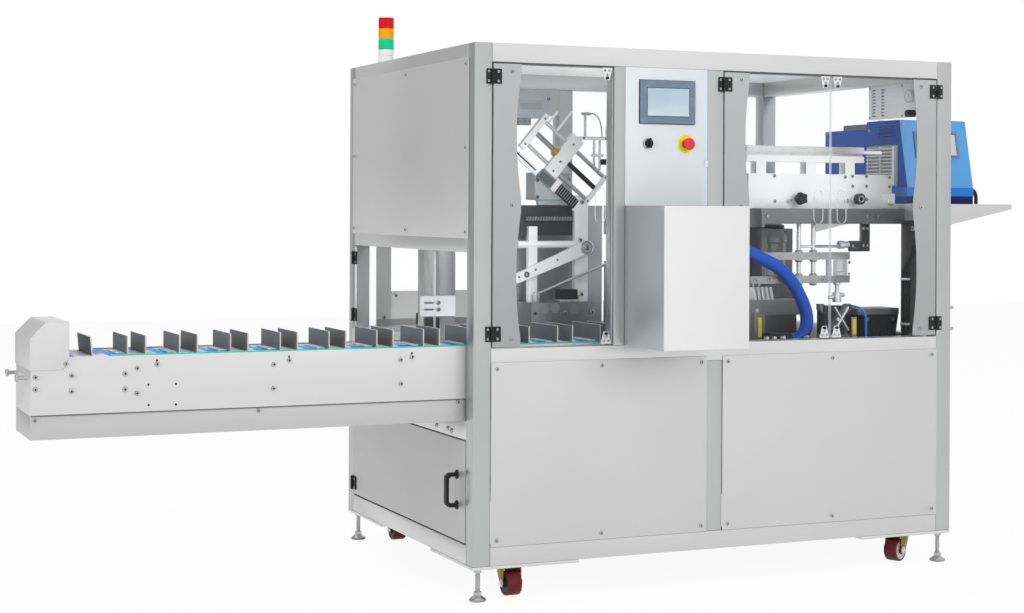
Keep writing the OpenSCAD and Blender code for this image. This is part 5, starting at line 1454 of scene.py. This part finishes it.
    def bolts(self) -> None:
        """Bolt the side plates, with black discs on the spare tapped holes as painted shade."""
        shape = Shape("conveyor_bolts", SCREW_STEEL)
        for y, way in zip(self.plate_y, (-1, 1)):
            for x, z in self.bolt_places:
                shape.screw((x, y, z), (0, way, 0), Head.BOLT)
            for x, z in self.hole_places:
                shape.use(BLACK).lathe((x, y, z), (0, way, 0), [(3.6, -0.2), (3.6, 0.15), (2.6, 0.2)], 12)
            for x, z in self.tray_places:
                shape.screw((x, y - way * 4.0, z), (0, way, 0))
            shape.use(LID_GREY).block((-1347, y + way * 0.2, 521.5), (-1, y - way * 5, 525), 0.2)
        shape.ride(MACHINE, "bare_steel")


@dataclass
class PickStation:
    """Carton magazine, pick arm and their stand, seen through the left door."""

    plane_y: float = 450.0
    base_y: float = 403.3
    tilt: float = 40.0
    magazine: Place = (406.0, 450.0, 1394.0)
    rod_span: float = 52.0
    rod_r: float = 7.0
    pivot: Place = (600.0, 450.0, 993.0)
    arm_len: float = 278.0
    arm_tilt: float = 22.0

    def build(self) -> None:
        """Dress the stand and build the magazine, the arm and their fasteners."""
        eased("pick_stand", ARM_ALLOY, MACHINE, "grey_paint", 1.5, (
            Zone(WALL_STEEL, (370, 380, 620), (640, 560, 806)),
            Zone(FRAME_UP_PAINTED_SHADE, (60, 605, 620), (125, 690, 1100)),
            Zone(PLATE_WHITE, (40, 580, 700), (200, 606, 900))))
        self.stand_fittings()
        self.pick_arm()
        self.carton_magazine()
        self.drive()

    def stand_fittings(self) -> None:
        """Add the holes of the base, the guide's rack teeth, the actuator and the screws."""
        shape = Shape("pick_stand_fittings", BLACK, SCREW_STEEL)
        front = self.base_y
        for x, z in ((427, 783), (468, 786), (540, 780)):
            shape.use(BAR_ALLOY).lathe((x, front, z), FRONT, [(17, -0.5), (17, 0.8), (14, 1.2), (13, 0.9)], 32)
            # Black discs in the base holes: painted shade.
            shape.use(BLACK).lathe((x, front, z), FRONT, [(13.2, 0.2), (13, 0.9), (4, 0.6)], 32)
        shape.row(front, [(x, z) for x in (392, 505, 606) for z in (650, 770)], Head.BOLT)
        shape.use(BLACK).block((499, 424, 813), (565, 470, 848), 2.0)
        shape.use(BRIGHT_STEEL).block((495, 420, 805), (570, 474, 813), 1.0)
        shape.use(BRASS).bar((577, 440, 822), (565, 440, 822), 5.0)
        for k in range(22):
            x = 385 + k * 10.2
            tooth = [(x, 1086), (x + 6, 1086), (x + 10, 1100), (x + 4, 1100)]
            shape.use(BAR_ALLOY).prism(tooth, Axis.Y, 463, 470, 0.6)
        for z in (1081, 1100):
            shape.use(DARK_STEEL).block((380, 464, z), (612, 470, z + 5), 0.8)
        shape.row(self.plane_y, [(590, z) for z in (830, 1150)], Head.BOLT)
        shape.row(592, [(111, 777.3), (111, 800.6)], Head.BOLT)
        shape.use(DARK_STEEL).block((66, 596, 690), (118, 611, 748), 2.0)
        shape.ride(MACHINE, "dark_steel")

    def pick_arm(self) -> None:
        """Cut the tapered arm with its hole, and stack the washers of its pivot."""
        shape = Shape("pick_arm_dressed", ARM_ALLOY, BLACK, BRIGHT_STEEL)
        turn = Matrix.Rotation(math.radians(-self.arm_tilt), 4, "Y")
        shape.pose = Matrix.Translation(Vector(self.pivot)) @ turn
        end, tip, root = -self.arm_len - 15, 16.0, 23.0
        outline = [(end + 4, -tip), (0, -root), (14, -root + 6), (22, 0), (14, root - 6), (0, root),
                   (end + 4, tip), (end, tip - 4), (end, -tip + 4)]
        shape.prism(outline, Axis.Y, -22, -4, 1.2)
        hole = (-self.arm_len + 32, -22, 0)
        shape.use(BRIGHT_STEEL).lathe(hole, FRONT, [(11, -0.3), (11, 0.6), (9.5, 0.8), (9, 0.2)], 32)
        # Black disc in the hole: painted shade.
        shape.use(BLACK).lathe(hole, FRONT, [(9.2, 0.1), (9, 0.3), (2, 0.1)], 32)
        shape.row(-22, [(u, 3) for u in (-self.arm_len + 2, -210.0, -120.0)], Head.SMALL)
        rings = [(24, 20), (25, 21), (25, 24), (22, 25), (21, 24.5), (19, 24.5), (18, 26), (12, 26.5), (11, 25),
                 (0, 25)]
        shape.use(BRIGHT_STEEL).lathe((0, 0, 0), FRONT, rings, 40)
        shape.use(SCREW_STEEL).lathe((0, 0, 0), FRONT, [(9, 24), (9, 31), (7, 32)], 6)
        shape.use(BLACK).lathe((0, 0, 0), FRONT, [(20.5, 24.6), (19.2, 24.7), (19.1, 24.3)], 40)
        shape.screw((-14, -22, 34), FRONT, Head.BOLT)
        shape.ride(MACHINE, "bare_steel", "pick_arm")

    def carton_magazine(self) -> None:
        """Set up the tilted magazine: bars, rods, lead screw, hooks, sensor and motor head."""
        shape = Shape("carton_magazine_dressed", ARM_ALLOY, BAR_ALLOY, BLACK, BRASS, GREY_PAINT)
        place = Matrix.Translation(Vector(self.magazine))
        shape.pose = place @ Matrix.Rotation(math.radians(self.tilt), 4, "Y")
        shape.use(ARM_ALLOY).block((-11, -12, -75), (11, 12, 75), 1.5)
        shape.block((112, -12, -75), (167, 10, 92), 1.8)
        shape.block((300, -12, -62), (316, 0, 62), 1.5)
        for v in (-self.rod_span, self.rod_span):
            shape.use(BRIGHT_STEEL).bar((10, -5, v), (112, -5, v), self.rod_r)
            shape.bar((167, -5, v), (300, -5, v), self.rod_r)
            for k in range(26):
                shape.use(BAR_ALLOY).bar((169 + 5 * k, -5, v), (171.5 + 5 * k, -5, v), self.rod_r + 0.7, 0.5, 20)
        shape.use(BAR_ALLOY).bar((10, -4, 0), (112, -4, 0), 9.0)
        nut = [(12, 0), (14, 1), (14, 8), (19, 8), (20, 9), (20, 19), (18, 20)]
        shape.use(BRASS).lathe((92, -4, 0), RIGHT, nut)
        self.thread(shape, 167.0, 300.0, 9.0)
        for u, reach in ((17.0, 110.0), (58.0, 150.0)):
            tip = [(u, 53), (u + 8, 53), (u + 8, reach - 8), (u + 4, reach), (u, reach - 8)]
            shape.use(ARM_ALLOY).prism(tip, Axis.Y, -11, -5, 0.8)
        shape.row(-12, ((140, 60), (140, -18), (140, -60), (0, 58), (0, -58), (308, 54), (308, -54)), Head.SMALL)
        shape.use(BAR_ALLOY).block((108, -12, -112), (172, 8, -75), 2.0)
        for k in range(7):
            shape.use(BLACK).block((112 + 8.2 * k, -13.2, -110), (116 + 8.2 * k, -11.5, -84), 0.4)
        shape.use(BLACK).block((196, -4, -108), (286, 8, -72), 1.5)
        for k in range(9):
            shape.use(BAR_ALLOY).block((200 + 9.4 * k, -5.4, -106), (203.4 + 9.4 * k, -3.6, -74), 0.4)
        shape.use(ARM_ALLOY).block((-26, -3, -112), (104, 8, -101), 1.0).block((-40, 2, -96), (96, 9, -88), 1.0)
        shape.use(BLACK).block((-10, -5, -100), (92, 3, -97), 0.6)
        shape.use(ARM_ALLOY).block((172, -2, -112), (196, 8, -62), 1.0).block((286, -2, -112), (300, 8, -55), 1.0)
        shape.pose = place
        self.head(shape)
        self.sensor(shape)
        shape.ride(MACHINE, "bare_steel", "carton_magazine")

    def thread(self, shape: Shape, start: float, end: float, radius: float) -> None:
        """Turn the black lead screw between two places on the magazine."""
        count = int((end - start) / 4)
        profile = [(radius - 1.5, 0.0)]
        for k in range(count):
            profile += [(radius, 4.0 * k + 1), (radius, 4.0 * k + 2), (radius - 1.2, 4.0 * k + 3)]
        shape.use(BLACK).lathe((start, -4, 0), RIGHT, profile + [(radius - 1.5, end - start)])

    def head(self, shape: Shape) -> None:
        """Add the rounded motor head with its rows of vent holes."""
        outline = []
        for x, z, first in ((38, 96, 0), (-60, 96, 90), (-60, 56, 180), (38, 56, 270)):
            outline += [(x + 8 * math.cos(math.radians(first + a)), z + 8 * math.sin(math.radians(first + a)))
                        for a in (0, 30, 60, 90)]
        shape.use(GREY_PAINT).prism(outline, Axis.Y, -10, 10, 2.5)
        # Vent holes as black discs: painted shade in them.
        for row in range(3):
            for k in range(9):
                shape.use(BLACK).lathe((-52 + 9.5 * k, -10, 94 - 8 * row), FRONT, [(2.0, -0.2), (2.0, 0.2)], 10)
        shape.use(CAST_ALLOY).block((-66, -8, 44), (30, 8, 49), 1.0)
        shape.use(BAR_ALLOY).block((-62, -9, 20), (-14, 9, 44), 2.0)
        shape.row(-9, [(x, 33) for x in (-56, -38, -20)], Head.SMALL)

    def sensor(self, shape: Shape) -> None:
        """Add the sensor post on its cross arm, with its short lead clipped down."""
        shape.use(ARM_ALLOY).block((150, -4, -26), (289, 4, -14), 1.0)
        shape.use(BRIGHT_STEEL).bar((196, 0, -14), (196, 0, 62), 5.0)
        shape.use(GREY_PAINT).block((182, -7, 60), (216, 7, 70), 2.0)
        shape.use(BLACK).tube([(216, 0, 66), (228, 0, 66), (240, 0, 60), (250, 0, 48), (256, 0, 30), (260, 0, 8),
                               (262, 0, -14)], 1.8, 8, 3)
        shape.use(ARM_ALLOY).block((276, -4, -14), (284, 4, 24), 1.0)
        shape.row(-4, [(x, -20) for x in (160, 190, 275)], Head.SMALL)
        for x in (236, 258):
            shape.use(BRIGHT_STEEL).bar((x, 10, -130), (x, 10, -26), 4.5)
        shape.use(ARM_ALLOY).block((226, 2, -84), (270, 16, -74), 1.2)
        shape.use(BLACK).block((262, -6, -112), (292, 14, -92), 2.0)

    def drive(self) -> None:
        """Dress the magazine motor and bolt it down."""
        eased("magazine_drive", GREY_PAINT, MACHINE, "dark_steel", 4.0)
        shape = Shape("magazine_drive_fittings", SCREW_STEEL)
        shape.row(460, [(x, z) for x in (424, 544) for z in (1168, 1226)], Head.BOLT)
        shape.ride(MACHINE, "dark_steel")


@dataclass
class GlueStation:
    """Beam, press rail, nozzle carriage and deck fittings, seen through the right doors."""

    plate_y: float = 240.0
    star: float = 23.0
    head: Spot = (1397.0, 512.0)
    gauge: Place = (1771.0, 188.0, 1539.6)
    gauge_marks: float = 16.0

    def build(self) -> None:
        """Dress the station and bolt it together."""
        eased("dark_beams", BEAM_STEEL, MACHINE, "dark_steel", 2.0, (
            Zone(BACK_STEEL, (370, 540, 620), (730, 560, 1140)),
            Zone(BACK_STEEL, (110, 600, 620), (200, 660, 1100)),
            Zone(BRIGHT_STEEL, (395, 408, 800), (690, 432, 950)),
            Zone(DARK_STEEL, (360, 380, 620), (700, 500, 1140)),
            Zone(WALL_STEEL, (1300, 440, 620), (1500, 600, 1100))))
        eased("press_rail", PLATE_WHITE, MACHINE, "bare_steel", 1.2, (
            Zone(RAIL_ALLOY, (1100, 200, 1256), (1619, 300, 1360)),
            Zone(CHROME, (1619, 200, 1290), (1740, 300, 1360)),
            Zone(BLACK, (1290, 190, 1140), (1620, 220, 1190)),
            Zone(BRIGHT_STEEL, (1290, 219, 1140), (1620, 239, 1190)),
            Zone(ARM_ALLOY, (1690, 215, 1130), (1740, 239, 1190))))
        eased("nozzle_carriage", BAR_ALLOY, MACHINE, "bare_steel", 1.0, (
            Zone(ARM_ALLOY, (1450, 190, 890), (1530, 240, 952)),
            Zone(DARK_STEEL, (1535, 200, 975), (1640, 240, 1040)),
            Zone(BRIGHT_STEEL, (1320, 205, 860), (1405, 235, 1080)),
            Zone(BRIGHT_STEEL, (1470, 200, 790), (1520, 240, 868))))
        eased("scale_blocks", BASE_STEEL, MACHINE, "bare_steel", 1.2, (
            Zone(ARM_ALLOY, (1265, 440, 797), (1480, 540, 850)),
            Zone(WALL_STEEL, (1260, 440, 620), (1480, 540, 799)),
            Zone(LID_GREY, (1410, 170, 684), (1545, 245, 800))))
        eased("drive_motor", BLACK, MACHINE, "dark_steel", 2.5, (
            Zone(BEAM_STEEL, (1560, 190, 751), (1760, 330, 790)),))
        eased("hose_fittings", RUBBER, MACHINE, "black_plastic", 2.0, (
            Zone(BAR_ALLOY, (870, 50, 980), (889, 230, 1090)),
            Zone(BRIGHT_STEEL, (1570, 160, 620), (1600, 200, 650))))
        self.rail_fittings()
        self.deck_fittings()
        self.cables()
        self.air_plates()

    def rail_fittings(self) -> None:
        """Bolt the press plate and the beam, and put the clamping knobs on."""
        shape = Shape("press_rail_fittings", SCREW_STEEL, BLACK)
        shape.row(self.plate_y, ((1242, 1246), (1537, 1246), (1568, 1249), (1628, 1249), (1569, 1213),
                                 (1628, 1214), (1729, 1247), (1729, 1213), (1629, 1166), (1244, 1158)))
        shape.row(190, [(x, 1105) for x in (1185, 1600, 1648)])
        for z in (1144, 1062):
            shape.use(BAR_ALLOY).block((1760, 150, z - 9), (1790, 154, z + 9), 1.0)
            shape.row(150, [(x, z) for x in (1766, 1776, 1786)])
        lobes = []
        for k in range(60):
            a = 2 * math.pi * k / 60
            r = self.star - 7.0 * (1 + math.cos(5 * a)) / 2
            lobes.append((1331 + r * math.cos(a), 1167 + r * math.sin(a)))
        shape.use(BLACK).prism(lobes, Axis.Y, 192, 217, 3.0)
        shape.use(BAR_ALLOY).bar((1331, 217, 1167), (1331, 230, 1167), 11.0)
        shape.use(BRIGHT_STEEL).bar((1300, 226, 1160), (1300, 240, 1160), 7.0)
        knob = (1577, self.plate_y, 1167)
        grip = [(19, 22), (20, 24), (20, 42), (18, 45), (14, 45.5), (13, 44)]
        shape.use(DARK_STEEL).lathe(knob, FRONT, grip, 36)
        shape.use(BRIGHT_STEEL).lathe(knob, FRONT, [(13, 44), (12, 46), (8, 46), (7, 44)], 36)
        shape.use(BLACK).lathe(knob, FRONT, [(7.2, 43.5), (7, 44.4), (2, 44)], 24)
        for x, radius in ((1541, 8.0), (1606, 7.0)):
            shape.use(BRIGHT_STEEL).bar((x, 229, 1160), (x, 240, 1160), radius)
        shape.use(BRIGHT_STEEL).lathe(knob, FRONT, [(15, 0), (15, 20), (13, 22)], 28)
        shape.use(BRIGHT_STEEL).lathe((1717, 220, 1160), FRONT, [(15, 0), (15, 6), (11, 9), (10, 8), (0, 8)], 28)
        shape.ride(MACHINE, "bare_steel")

    def deck_fittings(self) -> None:
        """Add the rulers, the collars of the carriage, the cylinder's slots and the deck's screws."""
        shape = Shape("deck_fittings", YELLOW, BLACK)
        for x in (1232.5, 1629.5):
            shape.use(YELLOW).block((x, 328.6, 672), (x + 14, 330.0, 742), 0.3)
            for k in range(13):
                reach = 8.0 if k % 5 == 0 else 5.0
                shape.use(BLACK).block((x, 328.3, 675 + 5 * k), (x + reach, 328.7, 675.8 + 5 * k), 0.1)
            shape.use(BRIGHT_STEEL).bar((x + 7, 350, 759), (x + 7, 350, 772), 6.0)
            shape.row(330, [(x + 7, z) for z in (640, 655)])
        for x in (1331, 1391):
            for z in (951, 977, 868, 894):
                way = 1 if z in (977, 894) else -1
                shape.use(BAR_ALLOY).lathe((x, 220, z), (0, 0, way), [(14, 0), (14, 4), (11, 8), (8.2, 9)], 28)
        drum = [(33, 0.5), (35, 2), (35, 12), (33.6, 13.4), (35, 14.8), (35, 54), (33, 56)]
        shape.use(CAST_ALLOY).lathe((1491.5, 220, 894.5), UP, drum, 48)
        coupling = [(9, 0), (15, 1), (15, 20), (12, 22), (12, 40), (9, 42)]
        shape.use(BRIGHT_STEEL).lathe((1498, 220, 1003), RIGHT, coupling)
        shape.use(DARK_STEEL).block((1434, 214, 683), (1522, 262, 786), 2.0)
        for x, z in ((1462, 815), (1490, 806), (1508, 822)):
            shape.use(BRIGHT_STEEL).bar((x - 9, 214, z), (x + 9, 214, z + 3), 7.0)
        for low_x, high_x in ((1448, 1506), (1506, 1448)):
            shape.use(BRIGHT_STEEL).bar((low_x, 168, 700), (high_x, 168, 784), 4.0)
        shape.use(BAR_ALLOY).block((1533, 188, DECK_Z), (1555, 192, 746), 1.0)
        shape.use(YELLOW).block((1537, 186.6, 684), (1551, 188.4, 738), 0.3)
        for x in (1130, 1160, 1196, 1290, 1352, 1390):
            shape.use(BRIGHT_STEEL).bar((x, 104, DECK_Z), (x, 104, 682), 6.5)
            shape.use(SCREW_STEEL).lathe((x, 104, 680), UP, [(7, 0), (10, 2), (10, 9), (8, 12)], 6)
        shape.use(BAR_ALLOY).block((1262, 435, 742), (1478, 441, 799), 1.0)
        self.turning_head(shape)
        shape.row(207, ((1146, 964), (1180, 964), (1516, 964), (1146, 881), (1200, 881), (1422, 881)))
        shape.use(BLACK).bar((1527, 214, 936), (1539, 208, 942), 5.0)
        shape.use(BLACK).bar((1527, 214, 904), (1537, 208, 898), 4.0)
        shape.use(BRIGHT_STEEL).lathe((1491.5, 220, 868), (0, 0, -1), [(13, 0), (13, 6), (9, 9)], 28)
        shape.row(213.5, ((1599, 1000), (1617, 1000), (1599, 1062), (1617, 1062), (1556, 998)))
        shape.row(200, ((1426, 640), (1530, 640), (1426, 672), (1530, 672)))
        shape.use(BRIGHT_STEEL).bar((1478, 199, 738), (1478, 190, 738), 7.0)
        shape.row(450, [(x, 780) for x in (1290, 1340, 1400, 1450)])
        shape.row(205, [(x, 735) for x in (1612, 1722)])
        for k in range(6):
            shape.use(RUBBER).block((1622 + 16 * k, 202.6, 640), (1628 + 16 * k, 205.2, 722), 1.0)
        shape.ride(MACHINE, "bare_steel")

    def turning_head(self, shape: Shape) -> None:
        """Round the turning head off with its drum, its motor and a knurled ring."""
        x, y = self.head
        drum = [(60, 0), (63, 2), (63, 26), (58, 28), (58, 120), (61, 123), (61, 150), (55, 170), (54, 172)]
        shape.use(WALL_STEEL).lathe((x, y, 884), UP, drum, 56)
        for k in range(40):
            a = math.radians(180 + 4.5 * k)
            rib = (x + 63 * math.cos(a), y + 63 * math.sin(a))
            shape.use(BRIGHT_STEEL).bar((*rib, 887), (*rib, 908), 1.6, 0.3, 8)
        shape.use(BLACK).lathe((x, y, 1056), UP, [(46, 0), (48, 2), (48, 14), (30, 22)], 40)
        for x in (1275, 1300, 1325):
            shape.use(BRIGHT_STEEL).bar((x, 480, 846), (x + 8, 480, 866), 4.0)

    def cables(self) -> None:
        """Clip the black cables to the right middle post and over the deck."""
        shape = Shape("clipped_cables", RUBBER)
        for y, swing in ((166.0, 0.0), (184.0, 10.0)):
            path = [(1751, y, DECK_Z), (1751, y, 700), (1750, y, 780), (1750, y, 860), (1751, y - 4, 905 + swing),
                    (1756, 148, 945 + swing), (1768, 145, 975 + swing), (1786, 145, 992 + swing),
                    (1806, 145, 998 + swing)]
            shape.use(RUBBER).tube(path, 6.5, 14, 4)
        shape.use(RUBBER).block((1800, 136, 985), (1818, 154, 1022), 2.0)
        for z in (718.0, 880.0):
            shape.use(ARM_ALLOY).block((1742, 156, z - 4), (1761, 193, z + 4), 1.5)
        for path in ([(1166, 172, 650), (1140, 178, 640), (1110, 200, 633), (1060, 260, 633), (1000, 330, 633)],
                     [(1222, 200, 648), (1280, 214, 636), (1350, 214, 633), (1419, 212, 640)]):
            shape.use(RUBBER).tube(path, 7.0, 12, 5)
        for x, y in ((1108, 202), (1030, 296)):
            shape.use(BRIGHT_STEEL).block((x - 6, y - 14, DECK_Z), (x + 6, y + 14, 642), 1.0)
        shape.ride(MACHINE, "black_plastic")

    def air_plates(self) -> None:
        """Dress the gauge plate and the vent plate on the right side."""
        eased("service_plates", PLATE_WHITE, MACHINE, "white_paint", 0.6, (
            Zone(BLACK, (1740, 150, 1460), (1786, 200, 1495)),))
        shape = Shape("air_gauge", CHROME, PLATE_WHITE, BLACK)
        # Mid-grey sheet behind the vent plate's slots: painted shade for what is seen through them.
        shape.use(BASE_STEEL).block((1790.4, 330, 1466), (1792, 456, 1588), 0.3)
        face = self.gauge
        shape.use(CHROME).lathe(face, LEFT, [(22.4, -10), (23, 0), (22, 1.5), (20, 1.5), (19.6, 0.4)], 40)
        shape.use(PLATE_WHITE).lathe(face, LEFT, [(19.8, 0.2), (19.6, 0.5), (2, 0.6)], 40)
        for k in range(11):
            a = math.radians(-135 + 27 * k)
            y, z = face[1] + self.gauge_marks * math.sin(a), face[2] + self.gauge_marks * math.cos(a)
            shape.use(BLACK).bar((1770.4, y, z), (1770.1, y, z), 1.1, 0.1, 8)
        shape.use(BLACK).prism([(187, 1536), (189, 1536), (178, 1551)], Axis.X, 1769.8, 1770.3, 0.1)
        for y, z in ((128, 1472), (128, 1582), (248, 1472), (248, 1582), (450, 1472), (450, 1582)):
            shape.screw((1787, y, z), LEFT, Head.SMALL)
        shape.ride(MACHINE, "white_paint")


@dataclass
class GlueUnit:
    """Blue glue melter on its shelf."""

    left: float = 1871.0
    right: float = 2171.0
    front: float = 330.0
    skirt_z: float = 1213.0
    top: float = 1466.0
    lean: float = 52.0
    display: Spot = (111.0, 213.0)

    def build(self) -> None:
        """Dress the shelf and the unit, and build its fittings."""
        eased("glue_shelf", SHEET, MACHINE, "sheet_steel", 1.2)
        eased("glue_unit", UNIT_BLUE, MACHINE, "unit_blue", 3.0, (
            Zone(GREY_PAINT, (1850, 390, 1215), (1870.9, 570, 1375)),
            Zone(UNIT_NAVY, (1860, 300, 1140), (2200, 900, self.skirt_z + 1)),
            Zone(LID_GREY, (1890, 590, 1439), (2160, 810, 1470)),
            # Painted light: the front faces take the paler copy of the same blue paint.
            Zone(UNIT_BLUE_PAINTED_LIGHT, (1868, 320, self.skirt_z), (2180, 400, 1470), FRONT)))
        self.side_fittings()
        self.front_fittings()

    def side_fittings(self) -> None:
        """Add the louvres, the cooling fins, the seam, the feet, the cable and the lid's grip."""
        shape = Shape("glue_unit_side_fittings", BLACK, PLATE_WHITE)
        for x, way in ((self.left, -1), (self.right, 1)):
            for k in range(4):
                z = 1403 + 12.5 * k
                # Navy strip under each hood: painted shade in the louvre opening.
                shape.use(UNIT_NAVY).block((x, 415, z), (x + way * 1.2, 516, z + 5), 0.4)
                hood = [(x, z + 4.5), (x + way * 4, z + 3.6), (x + way * 3.6, z + 5.6), (x, z + 9)]
                shape.use(UNIT_BLUE).prism(hood, Axis.Y, 413, 518, 0.4)
            for y in (405, 575, 860):
                for z in (1232, 1430):
                    if y != 405 or z != 1430:
                        shape.screw((x, y, z), (way, 0, 0))
        for k in range(11):
            z = 1224 + 13.2 * k
            shape.use(PLATE_WHITE).block((1846.5, 396, z), (1857.5, 562, z + 4.6), 0.8)
        for y in (398.0, 478.0, 558.0):
            shape.use(PLATE_WHITE).block((1851, y - 3, 1221), (1858, y + 3, 1367), 0.6)
        for x in (1895, 2147):
            for y in (360, 850):
                shape.use(RUBBER).lathe((x, y, 1151), UP, [(17, 0), (17, 3), (15, 5)], 24)
        shape.use(UNIT_MID).block((self.left - 1, self.front - 1, 1180), (self.right + 1, 881, self.skirt_z), 1.0)
        shape.use(BLACK).tube([(self.right, 352, 1205), (2180, 352, 1205), (2192, 352, 1199), (2199, 352, 1184),
                               (2200, 352, 1166), (2200, 352, 1152)], 7.0, 14, 4)
        grip = [(1965, 650, 1460), (1965, 650, 1466), (1972, 652, 1472), (2070, 652, 1472), (2077, 650, 1466),
                (2077, 650, 1460)]
        shape.use(BLACK).tube(grip, 4.0, 12, 4)
        shape.ride(MACHINE, "unit_blue")

    def front_fittings(self) -> None:
        """Set the display into the leaning front and screw the front on."""
        slope = math.atan2(self.lean, self.top - self.skirt_z)
        shape = Shape("glue_unit_display", BEZEL, SCREEN, BLACK)
        shape.pose = (Matrix.Translation(Vector((self.left, self.front, self.skirt_z)))
                      @ Matrix.Rotation(-slope, 4, "X"))
        low, high = self.display
        for finish, left, right, rim, y0, y1, ease in ((BEZEL, 53, 247, 1, -8.0, -5.5, 2.0),
                                                       (BLACK, 62, 238, 9, -8.4, -7.6, 0.3),
                                                       (SCREEN, 64, 236, 11, -8.8, -8.2, 0.2)):
            shape.use(finish).block((left, y0, low + rim), (right, y1, high - rim), ease)
        shape.row(0, [(x, z) for x in (12, 288) for z in (14, 240)])
        shape.ride(MACHINE, "unit_blue")


def main() -> None:
    """Build every sub-assembly in order."""
    logging.basicConfig(level=logging.INFO, format="%(name)s: %(message)s")
    Studio().build()
    AirLines().build()
    Cabinet().build()
    doors = [GlazedDoor("left_door", 65.0, 485.0, -1.0), GlazedDoor("mid_door", 901.0, 1317.5, -1.0),
             GlazedDoor("right_door", 1755.0, 1322.5, 1.0)]
    sides = SideDoors()
    leaves = Shape("fixed_hinge_leaves_dressed", BLACK)
    for door in doors:
        door.build()
        for hinge in door.hinges():
            hinge.fixed(leaves)
    sides.build()
    for body in ("side_door", "side_guard"):
        for hinge in sides.hinges(body):
            hinge.fixed(leaves)
    leaves.ride(MACHINE, "black_plastic", "fixed_hinge_leaves")
    OperatorPanel().build()
    FrontBox().build()
    SignalTower().build()
    for corner, turn in (("fl", 90.0), ("fr", 26.0), ("bl", 90.0), ("br", 90.0)):
        # Only the front right wheel has bright rings: a painted highlight on that wheel.
        Caster(corner, turn, rim=CAST_ALLOY if corner == "fr" else HUB).build()
    InfeedConveyor().build()
    PickStation().build()
    GlueStation().build()
    GlueUnit().build()


if __name__ == "__main__":
    main()
